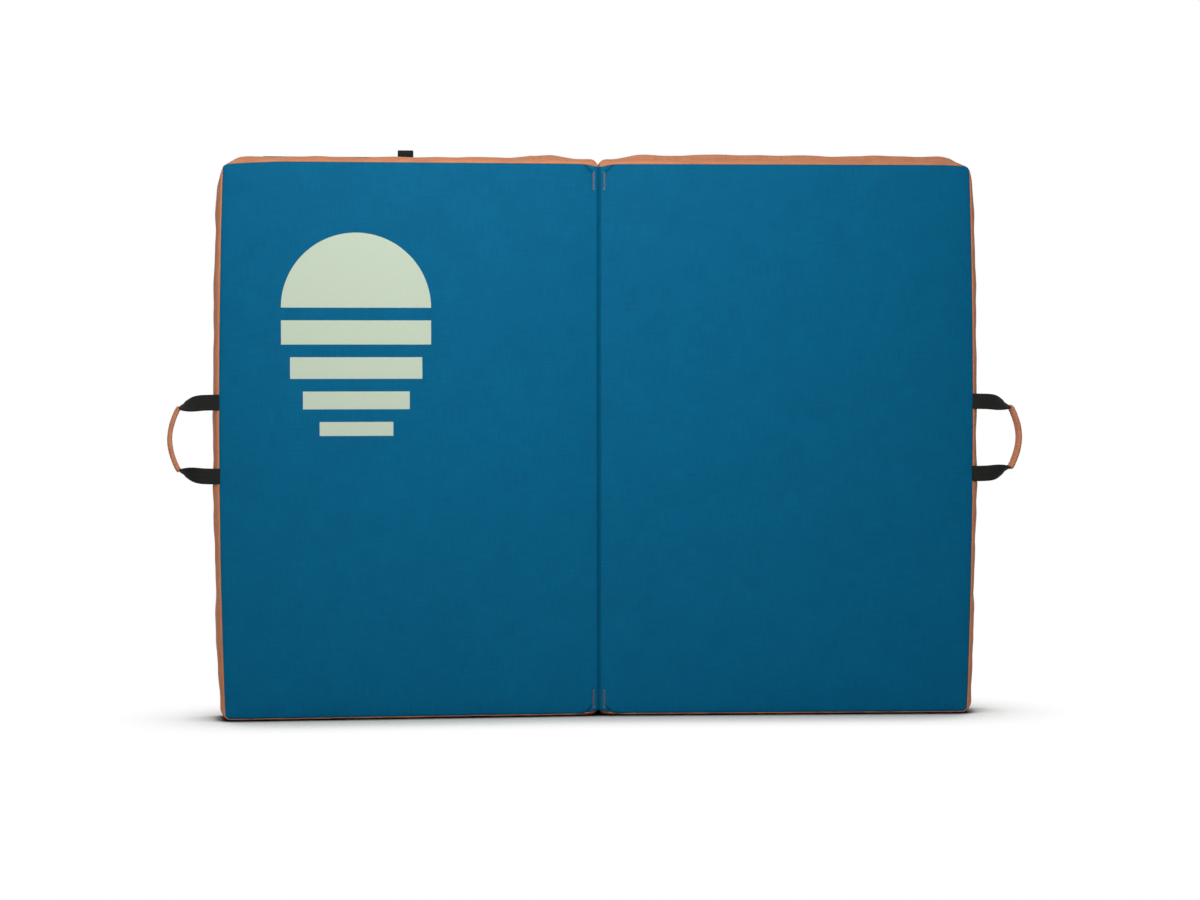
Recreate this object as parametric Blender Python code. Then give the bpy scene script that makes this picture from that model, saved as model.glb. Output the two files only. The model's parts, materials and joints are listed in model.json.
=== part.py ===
"""Hinged bouldering crash pad, standing open on the lower edges of its two foam panels.

Metres, +Z up. The landing side faces -Y, the carry side faces +Y. The hinge line is vertical,
and the origin lies on the floor below the middle of the pad. Each panel is modelled in its own
frame: u runs outward from the hinge, depth runs from the landing side to the carry side, and z
is the height above the floor.
"""
import math

import bmesh
import bpy
from mathutils import Vector

# Panels
PANEL_WIDTH = 0.602
PANEL_HEIGHT = 0.890
PANEL_THICKNESS = 0.089
OPEN_HALF_ANGLE = math.radians(2.3)
SIDE_BOW = 0.008
OUTER_CORNER_RADIUS = 0.030
SEAM_CORNER_RADIUS = 0.008
HINGE_CORNER_RADIUS = 0.012
SEAM_INSET = 0.009
BOTTOM_SEAM_INSET = 0.004
HINGE_SEAM_INSET = 0.001
BOXING_ROUND = 0.020
LANDING_CROWN = 0.004
FABRIC = 0.0010
CLEAR = 0.0003
HINGE_CLEARANCE = 0.0002
FOLD_CLEARANCE = 0.0005
HINGE_STITCH = 0.0083
HINGE_LEAF_INSET = 0.020
LANDING_FOAM = 0.025
BASE_FOAM = 0.012
PANEL_RING_SHARES = (0.35, 0.62, 0.8, 0.9, 0.96, 1.0)
BOXING_DEPTH_SHARES = (0.0, 0.15, 0.4, 1.0)
BOXING_INSET_SHARES = (1.0, 0.55, 0.22, 0.0)
CROWN_POWER = 6
CORNER_STEPS = 4
OUTER_SIDE_STEPS = 7
END_STEPS = 5
HINGE_SIDE_STEPS = 3

# Webbing, shared by all straps
WEBBING = 0.025
WEBBING_THICKNESS = 0.0018
TURN_STEPS = 6

# Side handles
HANDLE_SPREAD = 0.116
HANDLE_REACH = 0.067
HANDLE_BACKSET = 0.015
HANDLE_ROOT_CLEAR = 0.0012
SLEEVE_WIDTH = 0.030
SLEEVE_THICKNESS = 0.0080
SLEEVE_CLEAR = 0.0005
HANDLE_REACH_SHARES = (0.0, 0.3, 0.6, 0.84, 0.96, 1.0)
HANDLE_RISE_SHARES = (1.0, 1.0, 0.95, 0.78, 0.42, 0.0)
HANDLE_BACK_SHARES = (0.0, 0.3, 0.8, 1.0, 1.0, 1.0)
HANDLE_TWIST_SHARES = (0.0, 0.3, 0.95, 1.0, 1.0, 1.0)
HANDLE_STEPS = 4
SLEEVE_START_SHARE = 0.5

# Loop tabs in the back seam of the left panel
TAB_LENGTH = 0.024
TAB_EYE = 0.0025
TAB_LAYER_GAP = 0.0004

# Closure straps on the right panel
CLOSURE_LENGTH = 0.200
CLOSURE_FOLD_BACK = 0.050
KEEPER_HEIGHT = 0.008
KEEPER_WALL = 0.0015
FLOOR_GAP = 0.0004
HOOK_WIRE = 0.0020
HOOK_HALF_WIDTH = 0.0155
HOOK_RING_DROP = 0.012
HOOK_BEND_RADIUS = 0.008
HOOK_STEM = 0.020
HOOK_TIP_RISE = 0.006
HOOK_GAP = 0.0032

# Zippers in the top rear wall of each panel
ZIPPER_BACKSET = 0.032
ZIPPER_MARGIN = 0.070
ZIPPER_TAPE_WIDTH = 0.022
ZIPPER_TAPE = 0.0008
ZIPPER_CHAIN_WIDTH = 0.0060
ZIPPER_CHAIN_HEIGHT = 0.0016
SLIDER_LENGTH = 0.012
SLIDER_WALL = 0.0016
PULL_LENGTH = 0.024
PULL_WIDTH = 0.0065
PULL_THICKNESS = 0.0016
PULL_NECK_SHARE = 0.4
PULL_NECK_WIDTH_SHARE = 0.6

# Carry harness on the back of the left panel
PATCH = 0.0014
YOKE_WIDTH = 0.340
YOKE_HIGH = PANEL_HEIGHT - 0.055
YOKE_LOW = YOKE_HIGH - 0.080
WAIST_WIDTH = 0.420
WAIST_LOW = 0.175
WAIST_HIGH = 0.330
PATCH_CHAMFER = 0.018
SHOULDER_SPREAD = 0.200
STRAP_STANDOFF = 0.017
KNEE_SHARE = 0.25
STRAP_TOP = YOKE_LOW - 0.020
STRAP_BOTTOM = 0.250
UPPER_TAB_SEWN = 0.030
LOWER_TAB_SEWN = 0.030
PAD_LENGTH = 0.300
PAD_BULGE = 0.055
PAD_WIDTH = 0.060
PAD_THICKNESS = 0.012
PAD_REACH_SHARES = (0.0, 0.03, 0.12, 0.3, 0.5, 0.7, 0.88, 1.0)
PAD_OUT_SHARES = (0.0, 0.0, 0.22, 0.64, 0.92, 1.0, 0.97, 0.88)
PAD_WIDTH_SHARES = (0.55, 0.6, 0.8, 0.96, 1.0, 1.0, 0.85, 0.5)
PAD_THICKNESS_SHARES = (0.3, 0.45, 0.8, 1.0, 1.0, 1.0, 0.8, 0.3)
KEEPER_LOOP_LENGTH = 0.024
TAIL_LENGTH = 0.090
LOCK_HALF_WIDTH = 0.0175
LOCK_RAIL = 0.0040
LOCK_BAR = 0.0040
LOCK_SLOT = 0.0080
LOCK_PLATE = 0.0030
HAUL_HALF_SPAN = 0.072
HAUL_RISE = 0.034
HAUL_Z = YOKE_HIGH - 0.030
HAUL_SPAN_SHARES = (-1.0, -0.76, -0.6, -0.4, 0.0, 0.4, 0.6, 0.76, 1.0)
HAUL_RISE_SHARES = (0.0, 0.0, 0.2, 0.75, 1.0, 0.75, 0.2, 0.0, 0.0)

# Hip belts with their buckle
HIP_SPREAD = 0.340
HIP_TOP = 0.300
HIP_LENGTH = 0.180
HIP_DOWN_SHARES = (0.0, 0.5, 0.9, 1.0)
HIP_OUT_SHARES = (0.0, 0.2, 1.0, 1.0)
BUCKLE_WIDTH = 0.034
BUCKLE_LENGTH = 0.034
BUCKLE_THICKNESS = 0.011
BUCKLE_WALL = 0.0026
BUCKLE_NOSE = 0.010
PRONG_LENGTH = 0.022
PRONG_WIDTH = 0.0055
PRONG_THICKNESS = 0.0045

SIDES = {"left": -1, "right": 1}
BACK = PANEL_THICKNESS + CLEAR + FABRIC
FOLD_AXIS_DEPTH = -(LANDING_CROWN + CLEAR + FABRIC + FOLD_CLEARANCE)

for item in list(bpy.data.objects):
    bpy.data.objects.remove(item)


def make_material(name, colour, roughness, metallic=0.0):
    material = bpy.data.materials.new(name)
    material.use_nodes = True
    shader = material.node_tree.nodes["Principled BSDF"]
    shader.inputs["Base Color"].default_value = (*colour, 1.0)
    shader.inputs["Roughness"].default_value = roughness
    shader.inputs["Metallic"].default_value = metallic
    return material


BLUE = make_material("blue_nylon", (0.005, 0.100, 0.200), 0.55)
ORANGE = make_material("orange_nylon", (0.480, 0.200, 0.110), 0.60)
BASE = make_material("base_nylon", (0.020, 0.021, 0.023), 0.65)
BLACK_WEBBING = make_material("black_webbing", (0.013, 0.013, 0.013), 0.75)
CLOSED_FOAM = make_material("closed_cell_foam", (0.060, 0.062, 0.066), 0.85)
OPEN_FOAM = make_material("open_cell_foam", (0.620, 0.560, 0.330), 0.90)
BLACK_PLASTIC = make_material("black_plastic", (0.012, 0.012, 0.013), 0.40)
WIRE = make_material("hook_wire", (0.600, 0.610, 0.620), 0.30, 1.0)
ZIP_CLOTH = make_material("zipper", (0.015, 0.015, 0.016), 0.60)


def make_frame(name, parent=None, location=(0, 0, 0), turn=0.0):
    empty = bpy.data.objects.new(name, None)
    bpy.context.collection.objects.link(empty)
    empty.parent = parent
    empty.location = location
    empty.rotation_euler = (0, 0, turn)
    return empty


STAND = make_frame("pad_stand")
PANELS = {
    "left": make_frame("left_panel_frame", STAND, turn=OPEN_HALF_ANGLE),
    "right": make_frame("right_panel_frame", STAND, turn=-OPEN_HALF_ANGLE),
}


def at(side, u, depth, z):
    """A place on a panel, measured from the fold axis so that both panels turn about it."""
    return Vector((SIDES[side] * u, depth - FOLD_AXIS_DEPTH, z))


def make_pivot(name, side, u, depth, z):
    return make_frame(name, PANELS[side], at(side, u, depth, z))


def finish(name, work, material, side, pivot=None):
    """Turn a closed bmesh in panel coordinates into an object that hangs on its frame or pivot."""
    if pivot:
        bmesh.ops.translate(work, verts=work.verts, vec=-pivot.location)
    bmesh.ops.recalc_face_normals(work, faces=work.faces)
    mesh = bpy.data.meshes.new(name)
    work.to_mesh(mesh)
    work.free()
    mesh.materials.append(material)
    mesh.shade_smooth()
    mesh.set_sharp_from_angle(angle=math.radians(35))
    item = bpy.data.objects.new(name, mesh)
    bpy.context.collection.objects.link(item)
    item.parent = pivot or PANELS[side]
    return item


def skin(rings, joined=False):
    """Skin a body over rings of equal count; an open run gets flat ends, a joined one closes."""
    work = bmesh.new()
    loops = [[work.verts.new(point) for point in ring] for ring in rings]
    count = len(rings[0])
    pairs = list(zip(loops, loops[1:]))
    if joined:
        pairs.append((loops[-1], loops[0]))
    for first, second in pairs:
        for k in range(count):
            following = (k + 1) % count
            work.faces.new((first[k], first[following], second[following], second[k]))
    if not joined:
        work.faces.new(loops[0])
        work.faces.new(loops[-1])
    return work


def smooth(points, steps):
    """Catmull-Rom curve through points of any dimension."""
    padded = [points[0], *points, points[-1]]
    curve = []
    for a, b, c, d in zip(padded, padded[1:], padded[2:], padded[3:]):
        for k in range(steps):
            t = k / steps
            curve.append(tuple(
                0.5 * (2 * q + (r - p) * t + (2 * p - 5 * q + 4 * r - s) * t * t
                       + (3 * q - p - 3 * r + s) * t * t * t)
                for p, q, r, s in zip(a, b, c, d)
            ))
    curve.append(tuple(points[-1]))
    return curve


def tangents(points):
    ends = [points[0], *points, points[-1]]
    return [(after - before).normalized() for before, after in zip(ends, ends[2:])]


def band_rings(points, across, outline):
    """Rings of a swept profile; outline gives each ring's (across, through) offsets."""
    rings = []
    for k, (point, along, wide) in enumerate(zip(points, tangents(points), across)):
        through = along.cross(wide).normalized()
        rings.append([point + wide * a + through * b for a, b in outline(k)])
    return rings


def flat_profile(width, thickness):
    half, low = width / 2, thickness / 2
    return [(-half, -low), (half, -low), (half, low), (-half, low)]


def oval_profile(width, thickness, sides=12, fullness=0.6):
    """Rounded cross-section: a superellipse whose fullness of 1 would be an ellipse."""
    profile = []
    for k in range(sides):
        angle = 2 * math.pi * (k + 0.5) / sides
        c, s = math.cos(angle), math.sin(angle)
        profile.append((
            math.copysign(abs(c) ** fullness, c) * width / 2,
            math.copysign(abs(s) ** fullness, s) * thickness / 2,
        ))
    return profile


def webbing_band(points, across, rounded_ends=(False, False)):
    """A strap along points. A rounded end is a half cylinder about the strap's end point."""
    radius = WEBBING_THICKNESS / 2
    nose = [(math.cos(a), math.sin(a)) for a in (math.radians(20), math.radians(50))]
    run = tangents(points)
    places, halves, wides = list(points), [radius] * len(points), list(across)
    if rounded_ends[0]:
        places = [points[0] - run[0] * radius * c for c, _ in nose] + places
        halves = [radius * s for _, s in nose] + halves
        wides = [across[0]] * len(nose) + wides
    if rounded_ends[1]:
        places += [points[-1] + run[-1] * radius * c for c, _ in reversed(nose)]
        halves += [radius * s for _, s in reversed(nose)]
        wides += [across[-1]] * len(nose)
    return skin(band_rings(places, wides, lambda k: flat_profile(WEBBING, 2 * halves[k])))


def lattice_plate(columns, rows, missing, thickness, place):
    """A plate of cells between column and row lines, with some cells left out."""
    def filled(i, j):
        inside = 0 <= i < len(columns) - 1 and 0 <= j < len(rows) - 1
        return inside and (i, j) not in missing

    work = bmesh.new()
    corners = {}

    def corner(i, j, level):
        if (i, j, level) not in corners:
            corners[i, j, level] = work.verts.new(place(columns[i], rows[j], level * thickness / 2))
        return corners[i, j, level]

    for i in range(len(columns) - 1):
        for j in range(len(rows) - 1):
            if not filled(i, j):
                continue
            around = [(i, j), (i + 1, j), (i + 1, j + 1), (i, j + 1)]
            for level in (-1, 1):
                work.faces.new([corner(*c, level) for c in around])
            beyond = [(i, j - 1), (i + 1, j), (i, j + 1), (i - 1, j)]
            for side, start, end in zip(beyond, around, around[1:] + around[:1]):
                if not filled(*side):
                    work.faces.new((
                        corner(*start, -1), corner(*end, -1), corner(*end, 1), corner(*start, 1),
                    ))
    return work


def side_bow(z):
    """The foam pushes the outer wall out towards the middle of its height."""
    share = 2 * z / PANEL_HEIGHT - 1
    return SIDE_BOW * (1 - share * share)


def outline(share, inward, hinge_seam=HINGE_SEAM_INSET):
    """Closed (u, z) outline of a panel, with a bowed outer side.

    share runs from 0 at the wall to 1 at the seam, where the outer corners are tighter. inward
    is how far the outline keeps inside that line.
    """
    low_u = HINGE_CLEARANCE + hinge_seam * share + inward
    high_u = PANEL_WIDTH - SEAM_INSET * share - inward
    low_z = BOTTOM_SEAM_INSET * share + inward
    high_z = PANEL_HEIGHT - SEAM_INSET * share - inward
    hinge_r = HINGE_CORNER_RADIUS
    outer_r = OUTER_CORNER_RADIUS + (SEAM_CORNER_RADIUS - OUTER_CORNER_RADIUS) * share - inward
    corners = [
        (low_u + hinge_r, low_z + hinge_r, hinge_r, 180, END_STEPS),
        (high_u - outer_r, low_z + outer_r, outer_r, 270, OUTER_SIDE_STEPS),
        (high_u - outer_r, high_z - outer_r, outer_r, 0, END_STEPS),
        (low_u + hinge_r, high_z - hinge_r, hinge_r, 90, HINGE_SIDE_STEPS),
    ]
    points = []
    for index, (u, z, radius, start, steps) in enumerate(corners):
        for k in range(CORNER_STEPS + 1):
            angle = math.radians(start + 90 * k / CORNER_STEPS)
            points.append((u + radius * math.cos(angle), z + radius * math.sin(angle)))
        next_u, next_z, next_radius, next_start, _ = corners[(index + 1) % len(corners)]
        opening = math.radians(next_start)
        goal = (next_u + next_radius * math.cos(opening), next_z + next_radius * math.sin(opening))
        begin = points[-1]
        for k in range(1, steps):
            share = k / steps
            points.append(tuple(a + (b - a) * share for a, b in zip(begin, goal)))
    return [(u + side_bow(z) * max(u - low_u, 0) / (high_u - low_u), z) for u, z in points]


def seam_u(z):
    return PANEL_WIDTH - SEAM_INSET + side_bow(z)


def wall_u(z):
    return PANEL_WIDTH + side_bow(z)


def dome(share):
    return max(0.0, 1 - abs(2 * share - 1) ** CROWN_POWER)


def crown(u, z):
    """Height of the landing face above its seam at a place on the panel."""
    low_u = HINGE_CLEARANCE + HINGE_SEAM_INSET
    across = (u - low_u) / (seam_u(z) - low_u)
    upward = (z - BOTTOM_SEAM_INSET) / (PANEL_HEIGHT - SEAM_INSET - BOTTOM_SEAM_INSET)
    return LANDING_CROWN * dome(across) * dome(upward)


def boxing_share(depth):
    """Share of the seam inset that the boxing still has at a depth."""
    nearest = min(max(min(depth, PANEL_THICKNESS - depth), 0) / BOXING_ROUND, 1.0)
    spans = zip(BOXING_DEPTH_SHARES, BOXING_DEPTH_SHARES[1:], BOXING_INSET_SHARES,
                BOXING_INSET_SHARES[1:])
    for start, end, first, last in spans:
        if nearest <= end:
            return first + (last - first) * (nearest - start) / (end - start)
    return 0.0


def wall_ring(side, depth, inward):
    ring = outline(boxing_share(depth), inward)
    return [at(side, u, depth, z) for u, z in ring]


def wall_depths(low, high):
    """Depths from low to high that take in each step of the boxing's rounding."""
    rounding = [BOXING_ROUND * share for share in BOXING_DEPTH_SHARES]
    steps = rounding + [PANEL_THICKNESS - depth for depth in reversed(rounding)]
    return [low] + [depth for depth in steps if low + CLEAR < depth < high - CLEAR] + [high]


def crowned_rings(side, ring, lift):
    """Rings from the middle of the landing face out to its edge, raised by the crown."""
    middle_u, middle_z = PANEL_WIDTH / 2, PANEL_HEIGHT / 2
    rings = []
    for share in PANEL_RING_SHARES:
        shrunk = [(middle_u + (u - middle_u) * share, middle_z + (z - middle_z) * share)
                  for u, z in ring]
        rings.append([at(side, u, -crown(u, z) - lift, z) for u, z in shrunk])
    return rings


def level_first_ring(rings):
    """Lay the innermost ring flat so that its cap is one plane."""
    depth = min(point.y for point in rings[0])
    for point in rings[0]:
        point.y = depth
    return rings


def make_panel(side):
    inner = FABRIC + CLEAR
    depths = wall_depths(0, PANEL_THICKNESS)
    outer_skin = [wall_ring(side, depth, 0) for depth in depths]
    inner_skin = [wall_ring(side, depth, FABRIC) for depth in reversed(depths)]
    finish(f"{side}_boxing", skin(outer_skin + inner_skin, joined=True), ORANGE, side)

    cover_edge = outline(1, 0, HINGE_STITCH)
    front = level_first_ring(crowned_rings(side, cover_edge, CLEAR + FABRIC))
    rear = level_first_ring(crowned_rings(side, cover_edge, CLEAR))
    finish(f"{side}_landing_cover", skin(front + rear[::-1]), BLUE, side)
    make_hinge_leaf(side)

    base_edge = outline(1, 0)
    sheet = [[at(side, u, depth, z) for u, z in base_edge] for depth in (BACK - FABRIC, BACK)]
    finish(f"{side}_base_cover", skin(sheet), BASE, side)

    foam_edge = outline(1, inner)
    face = level_first_ring(crowned_rings(side, foam_edge, 0))
    body = [wall_ring(side, depth, inner) for depth in wall_depths(0, LANDING_FOAM)[1:]]
    finish(f"{side}_landing_foam", skin(face + body), CLOSED_FOAM, side)

    layers = {
        "core_foam": (LANDING_FOAM + CLEAR, PANEL_THICKNESS - BASE_FOAM - CLEAR, OPEN_FOAM),
        "base_foam": (PANEL_THICKNESS - BASE_FOAM, PANEL_THICKNESS, CLOSED_FOAM),
    }
    for name, (low, high, material) in layers.items():
        rings = [wall_ring(side, depth, inner) for depth in wall_depths(low, high)]
        finish(f"{side}_{name}", skin(rings), material, side)


def make_hinge_leaf(side):
    """The strip of cover between the hinge line and the panel's hinge stitching."""
    low, high = HINGE_CLEARANCE, HINGE_CLEARANCE + HINGE_STITCH - CLEAR
    across = [low, (low + high) / 2, high]
    rings = []
    for u in across:
        ring = []
        for lift in (CLEAR + FABRIC, CLEAR):
            heights = [HINGE_LEAF_INSET, PANEL_HEIGHT - HINGE_LEAF_INSET]
            if lift == CLEAR:
                heights.reverse()
            ring += [at(side, u, -crown(u, PANEL_HEIGHT / 2) - lift, z) for z in heights]
        rings.append(ring)
    finish(f"{side}_hinge_leaf", skin(rings), BLUE, side)


def handle_run(side, way):
    """Centre line and width directions of one half of a handle, from its root to its middle.

    The webbing leaves the seam flat and turns a quarter turn before it enters the sleeve. way is
    1 for the upper half and -1 for the lower one.
    """
    middle_z = PANEL_HEIGHT / 2
    rise = HANDLE_SPREAD / 2
    root_u = wall_u(middle_z + rise) + HANDLE_ROOT_CLEAR
    root_depth = -(CLEAR + WEBBING_THICKNESS / 2)
    shares = zip(HANDLE_REACH_SHARES, HANDLE_RISE_SHARES, HANDLE_BACK_SHARES, HANDLE_TWIST_SHARES)
    curve = smooth(list(shares), HANDLE_STEPS)
    points = [at(side, root_u + HANDLE_REACH * out, root_depth + HANDLE_BACKSET * back,
                 middle_z + way * rise * up) for out, up, back, _ in curve]
    across = []
    for along, (_, _, _, twist) in zip(tangents(points), curve):
        sideways = Vector((0, 1, 0))
        in_plane = along.cross(sideways).normalized() * SIDES[side] * way
        angle = math.radians(90 * min(max(twist, 0), 1))
        through = sideways - along * sideways.dot(along)
        across.append((in_plane * math.cos(angle) + through.normalized() * math.sin(angle)))
    return points, across


def slot_profile(width, thickness):
    """A rectangle with as many points as the default oval, in the same order."""
    quadrant_shares = ((1.0, 0.4), (1.0, 1.0), (0.4, 1.0))
    profile = []
    for sign_a, sign_b in ((1, 1), (-1, 1), (-1, -1), (1, -1)):
        corner = quadrant_shares if sign_a == sign_b else quadrant_shares[::-1]
        profile += [(sign_a * a * width / 2, sign_b * b * thickness / 2) for a, b in corner]
    return profile


def make_handle(side):
    upper, upper_across = handle_run(side, 1)
    lower, lower_across = handle_run(side, -1)
    points = upper + lower[-2::-1]
    across = upper_across + lower_across[-2::-1]
    for k in range(1, len(across)):
        if across[k].dot(across[k - 1]) < 0:
            across[k] = -across[k]
    root = points[0]
    pivot = make_frame(f"{side}_handle_axis", PANELS[side], (root.x, root.y, PANEL_HEIGHT / 2))
    webbing = webbing_band(points, across, rounded_ends=(True, True))
    finish(f"{side}_handle_webbing", webbing, BLACK_WEBBING, side, pivot)

    start = round(SLEEVE_START_SHARE * len(points) / 2)
    outer = oval_profile(SLEEVE_WIDTH, SLEEVE_THICKNESS)
    bore = slot_profile(WEBBING + 2 * SLEEVE_CLEAR, WEBBING_THICKNESS + 2 * SLEEVE_CLEAR)
    outside = band_rings(points, across, lambda k: outer)[start:-start]
    inside = band_rings(points, across, lambda k: bore)[start:-start]
    sleeve = skin(outside + inside[::-1], joined=True)
    finish(f"{side}_handle_sleeve", sleeve, ORANGE, side, pivot)

    depth = -(CLEAR + WEBBING_THICKNESS / 2)
    stop = abs(root.x) - WEBBING_THICKNESS / 2 - CLEAR
    for name, z in (("upper", upper[0].z), ("lower", lower[0].z)):
        ends = [at(side, u, depth, z) for u in (seam_u(z) + CLEAR, stop)]
        rings = band_rings(ends, [Vector((0, 0, 1))] * 2,
                           lambda k: flat_profile(WEBBING, WEBBING_THICKNESS))
        finish(f"{side}_handle_{name}_end", skin(rings), BLACK_WEBBING, side)


def make_loop_tab(name, depth, z, direction):
    """A folded webbing tab in the back seam of the left panel, with a small stitched eye."""
    layer = (WEBBING_THICKNESS + TAB_LAYER_GAP) / 2
    eye_run = TAB_LENGTH - 2 * TAB_EYE
    profile = [(-layer, 0), (-layer, eye_run / 2), (-TAB_EYE, eye_run), (0, TAB_LENGTH),
               (TAB_EYE, eye_run), (layer, eye_run / 2), (layer, 0)]
    through = Vector((0, -direction.z, direction.y))
    middle = at("left", PANEL_WIDTH / 2, depth, z)
    points = [middle + through * a + direction * b for a, b in profile]
    across = [Vector((1, 0, 0))] * len(points)
    finish(name, webbing_band(points, across), BLACK_WEBBING, "left")


def bend(centre, radius, start, end, steps):
    """Arc in the (along, through) plane, in degrees."""
    arc = []
    for k in range(steps + 1):
        angle = math.radians(start + (end - start) * k / steps)
        arc.append((centre[0] + radius * math.cos(angle), centre[1] + radius * math.sin(angle)))
    return arc


def make_closure(name, root, along, out, lead):
    """A closure strap with its keeper and wire hook.

    The strap leaves its root through lead, given as (along, out) places, runs straight, wraps the
    ring of the hook and comes back under the keeper.
    """
    pivot = make_frame(f"{name}_axis", PANELS["right"], root)
    side = Vector((1, 0, 0))

    def place(forward, outward, sideways=0.0):
        return root + along * forward + out * outward + side * sideways

    level = lead[-1][1]
    wrap = HOOK_GAP
    layer = WEBBING_THICKNESS + TAB_LAYER_GAP
    turn = bend((CLOSURE_LENGTH, level + wrap), wrap, -90, 90, TURN_STEPS)
    merge = CLOSURE_LENGTH - 3 * wrap
    run = lead + [(merge, level)] + turn
    run += [(merge, level + layer), (CLOSURE_LENGTH - CLOSURE_FOLD_BACK, level + layer)]
    points = [place(*step) for step in run]
    band = webbing_band(points, [side] * len(points), rounded_ends=(True, False))
    finish(f"{name}_strap", band, BLACK_WEBBING, "right", pivot)

    stack = 2 * WEBBING_THICKNESS + TAB_LAYER_GAP + 2 * CLEAR
    keeper_middle = CLOSURE_LENGTH - CLOSURE_FOLD_BACK / 2
    rings = []
    for wall in (KEEPER_WALL, 0):
        ends = (-KEEPER_HEIGHT / 2, KEEPER_HEIGHT / 2)
        for end in ends if wall else ends[::-1]:
            half = WEBBING / 2 + CLEAR + wall
            low = level - WEBBING_THICKNESS / 2 - CLEAR - wall
            high = level - WEBBING_THICKNESS / 2 - CLEAR + stack + wall
            rings.append([place(keeper_middle + end, outward, sideways) for sideways, outward in
                          ((-half, low), (half, low), (half, high), (-half, high))])
    finish(f"{name}_keeper", skin(rings, joined=True), BLACK_PLASTIC, "right", pivot)
    make_hook(name, pivot, place, level + wrap)


def make_hook(name, strap_pivot, place, level):
    """A hook bent from one wire: a ring for the strap, a stem and an open J."""
    half, drop, radius = HOOK_HALF_WIDTH, HOOK_RING_DROP, HOOK_BEND_RADIUS
    corner = 2 * HOOK_WIRE
    stem = HOOK_WIRE
    low = drop + HOOK_STEM
    path = [(-2 * HOOK_WIRE, drop)]
    path += bend((-half + corner, drop - corner), corner, 90, 180, 3)
    path += bend((-half + corner, corner), corner, 180, 270, 3)
    path += bend((half - corner, corner), corner, -90, 0, 3)
    path += bend((half - corner, drop - corner), corner, 0, 90, 3)
    path += bend((stem + corner, drop + corner), corner, -90, -180, 3)
    path += bend((stem - radius, low), radius, 0, 180, 8)
    path.append((stem - 2 * radius, low - HOOK_TIP_RISE))
    pivot = make_frame(f"{name}_hook_axis", strap_pivot,
                       place(CLOSURE_LENGTH, level) - strap_pivot.location)
    points = [place(CLOSURE_LENGTH + forward, level, sideways) for sideways, forward in path]
    flat = (place(0, 1) - place(0, 0)).normalized()
    across = [flat] * len(points)
    wire = oval_profile(2 * HOOK_WIRE, 2 * HOOK_WIRE, sides=8, fullness=1.0)
    work = skin(band_rings(points, across, lambda k: wire))
    bmesh.ops.translate(work, verts=work.verts, vec=-strap_pivot.location)
    finish(f"{name}_hook", work, WIRE, "right", pivot)


def make_closures():
    root_depth = BACK + CLEAR + WEBBING_THICKNESS / 2
    middle = PANEL_WIDTH / 2
    back, up, down = Vector((0, 1, 0)), Vector((0, 0, 1)), Vector((0, 0, -1))
    top = at("right", middle, root_depth + HOOK_WIRE, PANEL_HEIGHT - SEAM_INSET)
    lead = [(0, 0), (WEBBING, 0)]
    make_closure("top_closure", top, down, back, lead)
    bottom = at("right", middle, root_depth, BOTTOM_SEAM_INSET)
    floor_level = -(BOTTOM_SEAM_INSET - WEBBING_THICKNESS / 2 - KEEPER_WALL - FLOOR_GAP)
    lead = [(0, 0), (WEBBING / 2, floor_level / 2), (WEBBING, floor_level)]
    make_closure("bottom_closure", bottom, back, up, lead)


def make_zipper(side):
    """Zipper along the rear half of the top wall: tape with its chain, slider and pull."""
    depth, top = PANEL_THICKNESS - ZIPPER_BACKSET, PANEL_HEIGHT + CLEAR
    tape, chain = ZIPPER_TAPE_WIDTH / 2, ZIPPER_CHAIN_WIDTH / 2
    ridge = ZIPPER_TAPE + ZIPPER_CHAIN_HEIGHT
    section = [(-tape, 0), (tape, 0), (tape, ZIPPER_TAPE), (chain, ZIPPER_TAPE), (chain, ridge),
               (-chain, ridge), (-chain, ZIPPER_TAPE), (-tape, ZIPPER_TAPE)]
    ends = (ZIPPER_MARGIN, PANEL_WIDTH - ZIPPER_MARGIN)
    rings = [[at(side, u, depth + a, top + b) for a, b in section] for u in ends]
    finish(f"{side}_zipper", skin(rings), ZIP_CLOTH, side)

    start = ZIPPER_MARGIN + SLIDER_LENGTH
    pivot = make_pivot(f"{side}_zipper_travel", side, start, depth, top)
    bore, cap = chain + CLEAR, ridge + CLEAR
    foot = ZIPPER_TAPE + CLEAR
    wide, high = bore + SLIDER_WALL, cap + SLIDER_WALL
    section = [(-wide, foot), (-bore, foot), (-bore, cap), (bore, cap), (bore, foot),
               (wide, foot), (wide, high), (-wide, high)]
    ends = (start - SLIDER_LENGTH / 2, start + SLIDER_LENGTH / 2)
    rings = [[at(side, u, depth + a, top + b) for a, b in section] for u in ends]
    finish(f"{side}_zipper_slider", skin(rings), BLACK_PLASTIC, side, pivot)

    radius = PULL_THICKNESS / 2
    hinge = at(side, start, depth, top + high + CLEAR + radius)
    pull = make_frame(f"{side}_zipper_pull_axis", pivot, hinge - pivot.location)
    points = [at(side, start + reach, depth, top + high + CLEAR + radius)
              for reach in (0, PULL_LENGTH * PULL_NECK_SHARE, PULL_LENGTH)]
    widths = (PULL_WIDTH * PULL_NECK_WIDTH_SHARE, PULL_WIDTH, PULL_WIDTH)
    rings = band_rings(points, [Vector((0, 1, 0))] * len(points),
                       lambda k: flat_profile(widths[k], PULL_THICKNESS))
    work = skin(rings)
    bmesh.ops.translate(work, verts=work.verts, vec=-pivot.location)
    finish(f"{side}_zipper_pull", work, BLACK_PLASTIC, side, pull)


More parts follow.
